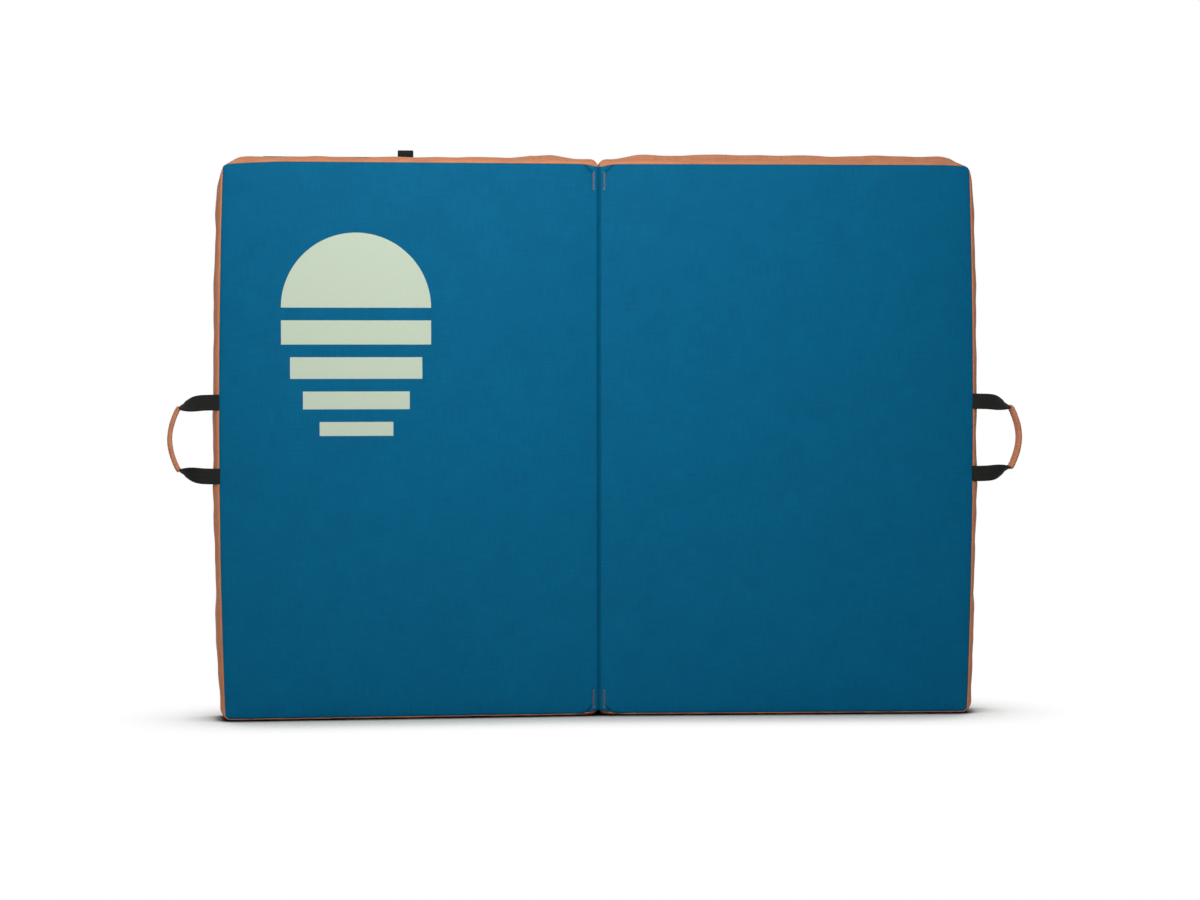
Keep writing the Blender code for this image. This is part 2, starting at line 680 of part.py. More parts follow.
def make_patch(name, width, low, high):
    """A reinforcing patch sewn flat on the left panel's back, with cut corners."""
    half, cut, middle = width / 2, PATCH_CHAMFER, PANEL_WIDTH / 2
    shape = [(-half + cut, low), (half - cut, low), (half, low + cut), (half, high - cut),
             (half - cut, high), (-half + cut, high), (-half, high - cut), (-half, low + cut)]
    rings = [[at("left", middle + a, depth, z) for a, z in shape]
             for depth in (BACK + CLEAR, BACK + CLEAR + PATCH)]
    finish(name, skin(rings), BASE, "left")


def make_harness():
    make_patch("shoulder_yoke", YOKE_WIDTH, YOKE_LOW, YOKE_HIGH)
    make_patch("waist_patch", WAIST_WIDTH, WAIST_LOW, WAIST_HIGH)
    for name, share in (("left", -1), ("right", 1)):
        make_shoulder_strap(name, PANEL_WIDTH / 2 + share * SHOULDER_SPREAD / 2)
        make_hip_belt(name, PANEL_WIDTH / 2 + share * HIP_SPREAD / 2)
    make_haul_loop()


def make_haul_loop():
    sewn = BACK + 2 * CLEAR + PATCH + WEBBING_THICKNESS / 2
    curve = smooth(list(zip(HAUL_SPAN_SHARES, HAUL_RISE_SHARES)), 2)
    points = [at("left", PANEL_WIDTH / 2 + HAUL_HALF_SPAN * a,
                 sewn + HAUL_RISE * max(b, 0), HAUL_Z) for a, b in curve]
    band = webbing_band(points, [Vector((0, 0, 1))] * len(points))
    finish("haul_loop", band, BLACK_WEBBING, "left")


def make_shoulder_strap(name, u):
    """One shoulder strap: sewn tabs, a padded band, keeper loop, ladder lock and webbing.

    The two tabs are sewn to the patches. The rest swings about the line between their ends.
    """
    width = Vector((1, 0, 0))
    sewn = BACK + 2 * CLEAR + PATCH + WEBBING_THICKNESS / 2
    axis_depth = BACK + STRAP_STANDOFF
    half_gap = CLEAR / 2
    for tab, z, way, length in (("upper", STRAP_TOP, 1, UPPER_TAB_SEWN),
                                ("lower", STRAP_BOTTOM, -1, LOWER_TAB_SEWN)):
        reach = STRAP_STANDOFF
        run = [(axis_depth, z + way * half_gap), (axis_depth, z + way * reach * KNEE_SHARE),
               (sewn, z + way * (reach + WEBBING / 2)), (sewn, z + way * (reach + length))]
        points = [at("left", u, depth, height) for depth, height in run]
        band = webbing_band(points, [width] * len(points))
        finish(f"{name}_strap_{tab}_tab", band, BLACK_WEBBING, "left")

    pivot = make_pivot(f"{name}_shoulder_axis", "left", u, axis_depth, STRAP_TOP)
    top_z = STRAP_TOP - half_gap
    table = list(zip(PAD_REACH_SHARES, PAD_OUT_SHARES, PAD_WIDTH_SHARES, PAD_THICKNESS_SHARES))
    curve = smooth(table, 2)
    spread = PAD_BULGE - STRAP_STANDOFF
    points = [at("left", u, axis_depth + spread * out, top_z - PAD_LENGTH * reach)
              for reach, out, _, _ in curve]
    profiles = [oval_profile(PAD_WIDTH * wide, PAD_THICKNESS * thick, sides=12, fullness=0.55)
                for _, _, wide, thick in curve]
    pad = skin(band_rings(points, [width] * len(points), lambda k: profiles[k]))
    finish(f"{name}_strap_pad", pad, BASE, "left", pivot)

    pad_end = points[-1]
    foot = at("left", u, axis_depth, STRAP_BOTTOM + half_gap)
    knee = foot + Vector((0, 0, STRAP_STANDOFF * KNEE_SHARE))
    down = (knee - pad_end).normalized()
    out = width.cross(down)
    if out.y < 0:
        out = -out

    def place(forward, outward, sideways=0.0):
        return pad_end + down * forward + out * outward + width * sideways

    wrap = LOCK_PLATE / 2 + CLEAR + WEBBING_THICKNESS / 2
    top_bar = CLEAR + KEEPER_LOOP_LENGTH
    rows = [top_bar, top_bar + LOCK_BAR]
    rows += [rows[1] + LOCK_SLOT, rows[1] + LOCK_SLOT + LOCK_BAR]
    rows += [rows[3] + LOCK_SLOT, rows[3] + LOCK_SLOT + LOCK_BAR]
    columns = [-LOCK_HALF_WIDTH, -LOCK_HALF_WIDTH + LOCK_RAIL,
               LOCK_HALF_WIDTH - LOCK_RAIL, LOCK_HALF_WIDTH]
    lock = lattice_plate(columns, rows, {(1, 1), (1, 3)}, LOCK_PLATE,
                         lambda a, b, level: place(b, level, a))
    finish(f"{name}_ladder_lock", lock, BLACK_PLASTIC, "left", pivot)

    start = CLEAR
    loop = [(start, -wrap), (rows[1] - LOCK_BAR / 8, -wrap)]
    loop += bend((rows[1] - LOCK_BAR / 8, 0), wrap, -90, 90, TURN_STEPS)[1:]
    loop += [(start, wrap)]
    points = [place(*step) for step in loop]
    band = webbing_band(points, [width] * len(points))
    finish(f"{name}_strap_keeper", band, BLACK_WEBBING, "left", pivot)

    turn = rows[2] + LOCK_BAR / 8
    length = (knee - pad_end).length
    run = [(length, 0), (length - WEBBING, 0), (rows[5] + WEBBING / 2, -wrap),
           (rows[5], -wrap), (turn, -wrap)]
    run += bend((turn, 0), wrap, 270, 90, TURN_STEPS)[1:]
    run += [(rows[5], wrap), (rows[5] + WEBBING, wrap + WEBBING_THICKNESS),
            (rows[5] + TAIL_LENGTH, wrap + WEBBING / 2)]
    points = [foot] + [place(*step) for step in run]
    band = webbing_band(points, [width] * len(points))
    finish(f"{name}_strap_webbing", band, BLACK_WEBBING, "left", pivot)


def make_hip_belt(name, u):
    """A hip belt that hangs from the waist patch, with half of the buckle at its end."""
    width = Vector((1, 0, 0))
    root = BACK + 2 * CLEAR + PATCH + WEBBING_THICKNESS / 2
    depth = BACK + CLEAR + BUCKLE_THICKNESS / 2
    pivot = make_pivot(f"{name}_hip_axis", "left", u, root, HIP_TOP)
    points = [at("left", u, root + (depth - root) * out, HIP_TOP - HIP_LENGTH * down)
              for down, out in zip(HIP_DOWN_SHARES, HIP_OUT_SHARES)]
    band = webbing_band(points, [width] * len(points), rounded_ends=(True, False))
    finish(f"{name}_hip_belt", band, BLACK_WEBBING, "left", pivot)

    top = HIP_TOP - HIP_LENGTH - CLEAR
    half, deep = BUCKLE_WIDTH / 2, BUCKLE_THICKNESS / 2
    if name == "left":
        mouth = top - BUCKLE_LENGTH
        stages = [(top, 1.0, 0.55, 0), (top - BUCKLE_NOSE, 1.0, 1.0, 0), (mouth, 1.0, 1.0, 0),
                  (mouth, 1.0, 1.0, BUCKLE_WALL), (top - BUCKLE_NOSE, 1.0, 1.0, BUCKLE_WALL)]
        rings = []
        for z, wide, thick, wall in stages:
            a, b = half * wide - wall, deep * thick - wall
            rings.append([at("left", u + x, depth + y, z)
                          for x, y in ((-a, -b), (a, -b), (a, b), (-a, b))])
        finish("hip_buckle_socket", skin(rings), BLACK_PLASTIC, "left", pivot)
        return
    inner = half - BUCKLE_WALL - CLEAR
    columns = [-inner, -inner + PRONG_WIDTH, -PRONG_WIDTH / 2, PRONG_WIDTH / 2,
               inner - PRONG_WIDTH, inner]
    rows = [top, top - BUCKLE_NOSE, top - BUCKLE_NOSE - PRONG_LENGTH]
    prongs = lattice_plate(columns, rows, {(1, 1), (3, 1)}, PRONG_THICKNESS,
                           lambda a, z, level: at("left", u + a, depth + level, z))
    finish("hip_buckle_prongs", prongs, BLACK_PLASTIC, "left", pivot)


def stand_on_origin():
    """Centre the finished pad over the origin, with its lowest point on the floor."""
    bpy.context.view_layer.update()
    corners = [item.matrix_world @ vertex.co for item in bpy.data.objects if item.type == "MESH"
               for vertex in item.data.vertices]
    lows = [min(corner[axis] for corner in corners) for axis in range(3)]
    highs = [max(corner[axis] for corner in corners) for axis in range(3)]
    STAND.location = (-(lows[0] + highs[0]) / 2, -(lows[1] + highs[1]) / 2, -lows[2])
    bpy.context.view_layer.update()


for panel_side in SIDES:
    make_panel(panel_side)
    make_handle(panel_side)
    make_zipper(panel_side)

tab_reach = (WEBBING_THICKNESS + TAB_LAYER_GAP + WEBBING_THICKNESS) / 2 + CLEAR
make_loop_tab("top_loop_tab", BACK + tab_reach, PANEL_HEIGHT - SEAM_INSET, Vector((0, 0, 1)))
make_loop_tab("bottom_loop_tab", BACK + CLEAR, BOTTOM_SEAM_INSET, Vector((0, 1, 0)))
make_closures()
make_harness()
stand_on_origin()
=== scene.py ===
"""Hinged bouldering crash pad, standing open on the lower edges of its two foam panels.

Metres, +Z up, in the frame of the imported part: the landing side faces -Y, the carry side +Y.
"""
import json
import math

import bmesh
import bpy
import numpy as np
from mathutils import Euler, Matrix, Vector, noise
from mathutils.bvhtree import BVHTree


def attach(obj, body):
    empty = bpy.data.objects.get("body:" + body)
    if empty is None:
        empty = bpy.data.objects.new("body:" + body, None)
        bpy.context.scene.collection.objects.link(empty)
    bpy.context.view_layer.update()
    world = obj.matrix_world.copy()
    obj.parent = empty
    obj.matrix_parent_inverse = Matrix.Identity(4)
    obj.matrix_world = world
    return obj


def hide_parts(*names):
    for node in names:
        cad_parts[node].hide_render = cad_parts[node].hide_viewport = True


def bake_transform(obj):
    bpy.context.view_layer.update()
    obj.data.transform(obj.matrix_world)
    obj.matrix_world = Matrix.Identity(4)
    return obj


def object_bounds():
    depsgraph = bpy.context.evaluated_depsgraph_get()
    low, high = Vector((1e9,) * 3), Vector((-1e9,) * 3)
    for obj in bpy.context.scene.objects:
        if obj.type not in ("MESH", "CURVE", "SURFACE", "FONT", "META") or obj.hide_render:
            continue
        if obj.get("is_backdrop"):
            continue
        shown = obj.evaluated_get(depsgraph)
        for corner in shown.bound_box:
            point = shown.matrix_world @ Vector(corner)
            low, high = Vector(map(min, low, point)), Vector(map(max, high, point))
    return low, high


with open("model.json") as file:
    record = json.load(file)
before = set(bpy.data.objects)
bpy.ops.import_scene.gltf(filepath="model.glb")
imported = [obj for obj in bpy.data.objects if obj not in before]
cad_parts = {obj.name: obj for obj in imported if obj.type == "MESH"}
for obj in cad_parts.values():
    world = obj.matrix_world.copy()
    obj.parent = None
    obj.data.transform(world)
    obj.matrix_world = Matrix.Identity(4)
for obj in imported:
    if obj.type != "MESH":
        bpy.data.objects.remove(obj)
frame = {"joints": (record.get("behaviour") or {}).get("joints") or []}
cad_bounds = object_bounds()

# Studio. A white paper floor and a white room, lit by one soft lamp above and in front of the pad,
# close to it, and a weaker one further off, as a catalogue photo of a standing pad is lit.
LENS = 91.71
CAMERA_PLACE = (-0.45, -5.0, 0.5934)
CAMERA_YAW = -5.317
CAMERA_PITCH = -1.969
PAPER = "CDCDCC"
SHADE_REACH, CONTACT_REACH = 0.17, 0.022
FLOOR_HALF = 30.0
AO_RAYS = 6


def srgb(code):
    """A hex colour as linear RGBA."""
    parts = [int(code[k:k + 2], 16) / 255 for k in (0, 2, 4)]
    return (*[c / 12.92 if c <= 0.04045 else ((c + 0.055) / 1.055) ** 2.4 for c in parts], 1.0)


def feed(tree, node, sockets):
    """Give a node values or the outputs that feed it, by input name or number."""
    for key, value in sockets.items():
        if isinstance(value, bpy.types.NodeSocket):
            tree.links.new(value, node.inputs[key])
        else:
            node.inputs[key].default_value = value


def add(tree, kind, sockets=None, **settings):
    """A new node with its inputs fed, and its settings made as attributes."""
    made = tree.nodes.new(kind)
    for key, value in settings.items():
        setattr(made, key, value)
    feed(tree, made, sockets or {})
    return made


def calc(tree, operation, a, b=0.0, c=0.0):
    return add(tree, "ShaderNodeMath", {0: a, 1: b, 2: c}, operation=operation).outputs[0]


def blended(tree, share, low, high, **settings):
    """A colour between two, each a socket or RGBA."""
    return add(tree, "ShaderNodeMix", {0: share, 6: low, 7: high}, data_type="RGBA",
               **settings).outputs[2]


def spread_over(tree, value, low, high, least=0.0, most=1.0, **settings):
    """A value's range mapped on another one."""
    return add(tree, "ShaderNodeMapRange", {0: value, 1: low, 2: high, 3: least, 4: most},
               **settings).outputs[0]


def linked(name, data):
    made = bpy.data.objects.new(name, data)
    bpy.context.scene.collection.objects.link(made)
    return made


def camera_and_mirror_rays(tree):
    path = add(tree, "ShaderNodeLightPath").outputs
    seen = calc(tree, "MAXIMUM", path["Is Camera Ray"], path["Is Glossy Ray"])
    return calc(tree, "MAXIMUM", seen, path["Is Transmission Ray"])


paper = bpy.data.materials.new("studio_paper")
paper.use_nodes = True
tree = paper.node_tree
tree.nodes.clear()
# The paper burns out to white, except close to what stands on it, where the floor's shade shows.
gap, room = [add(tree, "ShaderNodeAmbientOcclusion", {"Distance": reach},
                 samples=AO_RAYS).outputs["AO"] for reach in (CONTACT_REACH, SHADE_REACH)]
# Painted contact shadow: close to the foot of what stands on it, the paper's colour is darkened towards
# black.
depth = spread_over(tree, gap, 0.52, 0.88, 0.06)
matt = add(tree, "ShaderNodeBsdfDiffuse",
           {"Color": blended(tree, depth, (0, 0, 0, 1), srgb(PAPER))})
plain = add(tree, "ShaderNodeEmission", {"Color": (1, 1, 1, 1), "Strength": 1.0})
burnt = spread_over(tree, room, 0.56, 0.95, interpolation_type="SMOOTHSTEP")
fading = add(tree, "ShaderNodeMixShader", {0: burnt, 1: matt.outputs[0], 2: plain.outputs[0]})
shown = add(tree, "ShaderNodeMixShader", {0: camera_and_mirror_rays(tree), 1: matt.outputs[0],
                                          2: fading.outputs[0]})
add(tree, "ShaderNodeOutputMaterial", {"Surface": shown.outputs[0]})

mesh = bpy.data.meshes.new("studio_floor")
mesh.from_pydata([(-FLOOR_HALF, -FLOOR_HALF, 0), (FLOOR_HALF, -FLOOR_HALF, 0),
                  (FLOOR_HALF, FLOOR_HALF, 0), (-FLOOR_HALF, FLOOR_HALF, 0)], [], [(0, 1, 2, 3)])
mesh.materials.append(paper)
linked("studio_floor", mesh)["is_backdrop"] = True

world = bpy.data.worlds.new("studio")
bpy.context.scene.world = world
world.use_nodes = True
tree = world.node_tree
tree.nodes.clear()
# The room is brighter beside and behind the pad, where it lights the edges and the carry side,
# and slightly warmer above.
way = add(tree, "ShaderNodeTexCoord").outputs["Generated"]
sideways, behind, up = add(tree, "ShaderNodeSeparateXYZ", {0: way}).outputs
beside = calc(tree, "MULTIPLY", calc(tree, "ABSOLUTE", sideways), 0.85)
room = spread_over(tree, calc(tree, "MAXIMUM", beside, behind), 0.35, 1.0, 0.10)
tone = blended(tree, spread_over(tree, up, -0.3, 0.6), (0.99, 0.96, 1.04, 1), (0.99, 1.0, 0.95, 1))
fill = add(tree, "ShaderNodeBackground", {"Color": tone, "Strength": room})
white = add(tree, "ShaderNodeBackground", {"Color": (1, 1, 1, 1), "Strength": 1.0})
mixed = add(tree, "ShaderNodeMixShader", {0: camera_and_mirror_rays(tree), 1: fill.outputs[0],
                                          2: white.outputs[0]})
add(tree, "ShaderNodeOutputWorld", {"Surface": mixed.outputs[0]})

for name, place, aim, size, power, tint in (
        ("softbox_above", (-0.20, -1.32, 1.28), (0, -0.1, 0.6), 1.0, 18.2, "FFFFFA"),
        ("softbox_front", (-1.2, -4.2, 2.6), (0, 0, 0.6), 2.0, 4.5, "FFFEFF")):
    lamp = bpy.data.lights.new(name, "AREA")
    lamp.shape = "SQUARE"
    lamp.size = size
    lamp.energy = power
    lamp.color = srgb(tint)[:3]
    holder = linked(name, lamp)
    holder.location = place
    holder.rotation_euler = (Vector(aim) - Vector(place)).to_track_quat("-Z", "Y").to_euler()
    holder.visible_camera = False

lens = bpy.data.cameras.new("camera")
lens.lens = LENS
lens.sensor_width = 36
lens.clip_end = 100
camera = linked("camera", lens)
camera.location = CAMERA_PLACE
camera.rotation_euler = Euler((math.radians(90 + CAMERA_PITCH), 0, math.radians(CAMERA_YAW)))
bpy.context.scene.camera = camera
bpy.context.scene.view_settings.view_transform = "Standard"

# Panel shape. The two foam panels share one outline, and all their cloth is laid on it: u runs
# out from the hinge, depth from the landing side to the carry side, z up from the floor.
SIDES = {"left": -1, "right": 1}
WIDTH, HEIGHT, THICKNESS = 0.602, 0.890, 0.089
HALF_ANGLE = math.radians(2.3)
FOLD_BACKSET = 0.0058
HINGE_Y = next(j["pos_m"][1] for j in frame["joints"] if j["name"] == "fold")
SIDE_BOW = 0.008
SEAM_INSET, BOTTOM_INSET, HINGE_INSET = 0.009, 0.004, 0.001
WALL_RADIUS, FOOT_RADIUS, SEAM_RADIUS, HINGE_RADIUS = 0.045, 0.020, 0.008, 0.012
ROUNDING = 0.020
DROOP = {"left": (0.100, 0.0052), "right": (0.050, 0.0022)}
CLOTH = 0.001
COVER_FACE = 0.0013
BACK = 0.0903


def columns(*parts):
    """Numbers or arrays side by side in a last axis."""
    return np.stack(np.broadcast_arrays(*[np.asarray(part, float) for part in parts]), axis=-1)


def clamped(value):
    return np.clip(value, 0, 1)


def bell(distance, width):
    return np.exp(-(distance / width) ** 2)


def unit(rows):
    return rows / np.linalg.norm(rows, axis=-1, keepdims=True)


def placed(side, u, depth, z):
    """Panel coordinates, as numbers or arrays, to places in the frame."""
    u, depth, z = [np.asarray(v, float) for v in (u, depth, z)]
    back = depth + FOLD_BACKSET
    c, s = math.cos(HALF_ANGLE), math.sin(HALF_ANGLE)
    return columns(SIDES[side] * (u * c + back * s), back * c - u * s + HINGE_Y, z)


ACROSS = {side: placed(side, 1.0, 0.0, 0.0) - placed(side, 0.0, 0.0, 0.0) for side in SIDES}
INTO = {side: placed(side, 0.0, 1.0, 0.0) - placed(side, 0.0, 0.0, 0.0) for side in SIDES}


def bow(z):
    share = 2 * z / HEIGHT - 1
    return SIDE_BOW * (1 - share * share)


def edge_drop(side, u, z):
    """How far the front seam is drawn in at its top and bottom, next to the hinge and outside."""
    up = np.clip((z - HEIGHT / 2) / (HEIGHT / 2 - SEAM_INSET), -1, 1)
    run, deep = DROOP[side]
    outer = clamped((u - (WIDTH - SEAM_INSET - run)) / run)
    top = 0.0042 * bell(u, 0.018) + deep * outer ** 1.5
    return clamped(up) ** 8 * -top + clamped(-up) ** 8 * 0.0048 * bell(u, 0.020)


def outline(share, inward=0.0, corner=8, long=90, short=64):
    """Closed (u, z) ring of a panel, from the wall (share 0) to the seam (share 1)."""
    low_u = HINGE_INSET * share + inward
    high_u = WIDTH - SEAM_INSET * share - inward
    low_z = BOTTOM_INSET * share + inward
    high_z = HEIGHT - SEAM_INSET * share - inward
    outer, foot = [max(radius + (SEAM_RADIUS - radius) * share - inward, 0.001)
                   for radius in (WALL_RADIUS, FOOT_RADIUS)]
    centres = ((low_u + HINGE_RADIUS, low_z + HINGE_RADIUS, HINGE_RADIUS, 180, short),
               (high_u - foot, low_z + foot, foot, 270, long),
               (high_u - outer, high_z - outer, outer, 0, short),
               (low_u + HINGE_RADIUS, high_z - HINGE_RADIUS, HINGE_RADIUS, 90, long))
    arcs = []
    for u, z, radius, start, _ in centres:
        angles = np.radians(np.linspace(start, start + 90, corner + 1))
        arcs.append(columns(u + radius * np.cos(angles), z + radius * np.sin(angles)))
    ring = []
    for k, arc in enumerate(arcs):
        goal = arcs[(k + 1) % 4][0]
        steps = np.linspace(0, 1, centres[k][4] + 1)[1:-1, None]
        ring += [arc, arc[-1] + (goal - arc[-1]) * steps]
    ring = np.concatenate(ring)
    lean = np.clip((ring[:, 0] - low_u) / (high_u - low_u), 0, None)
    ring[:, 0] += bow(ring[:, 1]) * lean
    return ring


def closed_piece(name, mesh, body=None):
    """An object of a mesh, its faces turned outward, that rides on a body."""
    work = bmesh.new()
    work.from_mesh(mesh)
    bmesh.ops.recalc_face_normals(work, faces=work.faces)
    work.to_mesh(mesh)
    work.free()
    made = linked(name, mesh)
    if body:
        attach(made, body)
    return made


def shell_mesh(name, outer, inner, wrap, uv, material, body=None):
    """A closed cloth shell from two grids of points, with uv in metres along the cloth.

    wrap joins the last column to the first. The two skins are joined along every open edge.
    """
    rows, width = outer.shape[:2]
    verts = np.concatenate([outer.reshape(-1, 3), inner.reshape(-1, 3)])
    index = np.arange(rows * width).reshape(rows, width)
    right = np.roll(index, -1, axis=1) if wrap else index[:, 1:]
    here = index if wrap else index[:, :-1]
    front = np.stack([here[:-1], right[:-1], right[1:], here[1:]], axis=-1).reshape(-1, 4)
    back = front[:, ::-1] + rows * width
    faces = [front, back]
    edges = [(here[0], right[0]), (right[-1], here[-1])]
    if not wrap:
        edges += [(index[1:, 0], index[:-1, 0]), (index[:-1, -1], index[1:, -1])]
    for start, end in edges:
        faces.append(np.stack([start, start + rows * width, end + rows * width, end],
                              axis=-1).reshape(-1, 4))
    faces = np.concatenate(faces)
    mesh = bpy.data.meshes.new(name)
    mesh.from_pydata(verts.tolist(), [], faces.tolist())
    layer = mesh.uv_layers.new(name="cloth")
    flat = np.concatenate([uv.reshape(-1, 2)] * 2)[faces.reshape(-1)]
    if wrap:
        length = uv[..., 0].max() + np.abs(uv[:, 1, 0] - uv[:, 0, 0]).max()
        quads = flat.reshape(-1, 4, 2)
        crossing = quads[..., 0].max(axis=1) - quads[..., 0].min(axis=1) > length / 2
        quads[crossing, :, 0] += np.where(quads[crossing, :, 0] < length / 2, length, 0)
    layer.data.foreach_set("uv", flat.reshape(-1).astype(np.float32))
    mesh.materials.append(material)
    mesh.shade_smooth()
    mesh.validate()
    return closed_piece(name, mesh, body)


def grid_normals(points, wrap):
    """Unit normals of a grid of points, by its differences along rows and columns."""
    if wrap:
        across = np.roll(points, -1, axis=1) - np.roll(points, 1, axis=1)
    else:
        across = np.gradient(points, axis=1)
    along = np.gradient(points, axis=0)
    normal = np.cross(across, along)
    return normal / np.maximum(np.linalg.norm(normal, axis=-1, keepdims=True), 1e-12)


def ripple(points, scale, seed):
    """Smooth noise from -1 to 1 at each place; scale is the size of a ripple in metres."""
    flat = points.reshape(-1, points.shape[-1]) / scale
    values = [noise.noise(Vector((*p[:2], (p[2] if len(p) > 2 else 0.0) + seed))) for p in flat]
    return np.array(values).reshape(points.shape[:-1])


# Cloth finish. Pack cloth is plain-woven nylon, coated on its back: a dry, faintly mottled
# colour with a slight sheen where it turns away. Threads are 0.5 mm; they are drawn at 1.3 mm,
# or they would vanish in the render.
THREAD = 0.0013


def new_material(name):
    material = bpy.data.materials.new(name)
    material.use_nodes = True
    return material, material.node_tree


def finish(tree, sockets):
    feed(tree, tree.nodes["Principled BSDF"], sockets)


def speckle(tree, place, scale, detail=2.0, rough=0.5):
    return add(tree, "ShaderNodeTexNoise", {"Vector": place, "Scale": scale, "Detail": detail,
                                            "Roughness": rough}).outputs[0]


def bumped(tree, height, strength, distance, **settings):
    return add(tree, "ShaderNodeBump", {"Height": height, "Strength": strength,
                                        "Distance": distance}, **settings).outputs[0]


def woven(name, base, shade, sheen, rough, thread=THREAD, relief=0.00018, blotch=0.045, gloss=0.2):
    """Plain weave from the cloth UV in metres. Warp and weft take turns on top."""
    material, tree = new_material(name)
    cloth = add(tree, "ShaderNodeUVMap", uv_map="cloth").outputs[0]
    place = add(tree, "ShaderNodeTexCoord").outputs["Object"]
    waves = []
    for direction in ("X", "Y"):
        waves.append(add(tree, "ShaderNodeTexWave",
                         {"Vector": cloth, "Scale": math.pi / (10 * thread), "Distortion": 0.6,
                          "Detail": 1.0, "Detail Scale": 0.6},
                         bands_direction=direction, wave_profile="SIN").outputs["Fac"])
    weave = calc(tree, "MULTIPLY", *waves)
    slub = speckle(tree, cloth, 380, 3.0, 0.65)
    mottle = speckle(tree, place, 1 / blotch, 4.0, 0.6)
    slubs = []
    for stretch in ((55, 900, 1), (900, 55, 1)):
        drawn = add(tree, "ShaderNodeVectorMath", {0: cloth, 1: stretch}, operation="MULTIPLY")
        slubs.append(speckle(tree, drawn.outputs[0], 0.55, 1.0))
    tone = calc(tree, "MULTIPLY_ADD", calc(tree, "ADD", *slubs), 0.55, -0.50)
    for pattern, weight in ((slub, 0.55), (mottle, 0.45), (weave, 0.16)):
        tone = calc(tree, "MULTIPLY_ADD", pattern, weight, tone)
    colour = blended(tree, spread_over(tree, tone, 0.35, 0.80), srgb(shade), srgb(base))
    raised = calc(tree, "MULTIPLY_ADD", slub, 0.5, weave)
    finish(tree, {"Base Color": colour, "Normal": bumped(tree, raised, 0.6, relief),
                  "Roughness": spread_over(tree, slub, 0.0, 1.0, rough - 0.06, rough + 0.08),
                  "IOR": 1.53, "Sheen Weight": sheen, "Sheen Roughness": 0.45,
                  "Specular IOR Level": gloss})
    return material, colour


# Landing cover. One piece of blue coated nylon runs over both panels and hinges between them. It
# is pulled tight over the foam, dips along the hinge line and puckers at its edge seam, and it
# carries a generic pale print of a sun over bars.
CROWN = 0.004
BLUE, BLUE_SHADE = "00638C", "005880"
PRINT, PRINT_SHADE = "C5D2C2", "BBC9B8"
PRINT_MIDDLE = (-0.386, 0.600)
SUN_RADIUS, SUN_BASE = 0.118, 0.052
BARS = ((-0.006, 0.032, 0.118), (-0.060, -0.026, 0.104), (-0.108, -0.080, 0.084),
        (-0.150, -0.128, 0.058))
HINGE_CREASE = 0.0026
TACK_SPREAD = 0.0083
TACKS = ((0.854, 1), (0.028, -1))
CREASE_START, CREASE_SLOPE = 0.010, 0.9
COVER_ROWS, COVER_COLUMNS = 150, 110
GRID_CROWDING = 0.82


def eased(count, power=1.0):
    """Shares from 0 to 1 that crowd towards both ends."""
    t = np.linspace(0, 1, count)
    return t + power * (np.sin(2 * np.pi * t) / (-2 * np.pi))


def rounded_plan(a, b, low_u, high_u, low_z, high_z, radius):
    """(u, z) grids of a rectangle with rounded corners, from shares of its half sizes.

    Each straight line of the grid ends on the rounded corner, which it meets at 45 degrees.
    """
    half_u, half_z = (high_u - low_u) / 2, (high_z - low_z) / 2
    turn = radius * (1 - math.sqrt(0.5))
    climb = np.clip(np.abs(b) * (half_z - turn) - (half_z - radius), 0, None) / radius
    run = np.clip(np.abs(a) * (half_u - turn) - (half_u - radius), 0, None) / radius
    u = (low_u + high_u) / 2 + a * (half_u - radius * (1 - np.sqrt(1 - climb ** 2)))
    z = (low_z + high_z) / 2 + b * (half_z - radius * (1 - np.sqrt(1 - run ** 2)))
    return u, z


def crown(u, z):
    across = clamped(u / (WIDTH - SEAM_INSET + bow(z)))
    upward = clamped((z - BOTTOM_INSET) / (HEIGHT - SEAM_INSET - BOTTOM_INSET))
    return CROWN * (1 - np.abs(2 * across - 1) ** 6) * (1 - np.abs(2 * upward - 1) ** 6)


def cover_depth(u, z):
    """Depth of the cover's outer face. Less is further towards the climber."""
    depth = -(COVER_FACE + crown(u, z))
    depth = depth + HINGE_CREASE * bell(u, 0.0024) + 0.0005 * bell(u, 0.011)
    for middle, way in TACKS:
        above = (z - middle) * way
        pull = ((u - TACK_SPREAD) / 0.0032) ** 2 + (above / 0.017) ** 2
        line = TACK_SPREAD + CREASE_SLOPE * np.clip(above - CREASE_START, 0, None)
        fade = clamped((above - 0.004) / 0.012)
        depth = depth + 0.0012 * np.exp(-pull) + 0.0018 * fade * bell(u - line, 0.0028)
        depth = depth - 0.0006 * fade * bell(u - line / 2, 0.0024)
    return depth


grids = {}
for side in SIDES:
    across = eased(COVER_COLUMNS, GRID_CROWDING)[None, :]
    up = 2 * eased(COVER_ROWS, GRID_CROWDING)[:, None] - 1
    seam = WIDTH - SEAM_INSET
    u, z = rounded_plan(across, up, -seam, seam, BOTTOM_INSET, HEIGHT - SEAM_INSET, SEAM_RADIUS)
    z = z + edge_drop(side, u, z)
    u = u + bow(z) * across
    depth = cover_depth(u, z)
    flat = columns(SIDES[side] * u, z, 0.0)
    depth = depth - 0.0007 * ripple(flat, 0.16, 3.1) * (1 - np.abs(up) ** 6)
    seam_gap = np.minimum((1 - np.abs(up)) * HEIGHT / 2, (1 - across) * WIDTH)
    pucker = np.exp(-seam_gap / 0.011)
    depth = depth + pucker * (0.0006 + 0.0006 * ripple(flat, 0.021, 7.7))
    depth = depth + 0.0010 * bell(seam_gap, 0.0016)
    grids[side] = (u, z, depth)

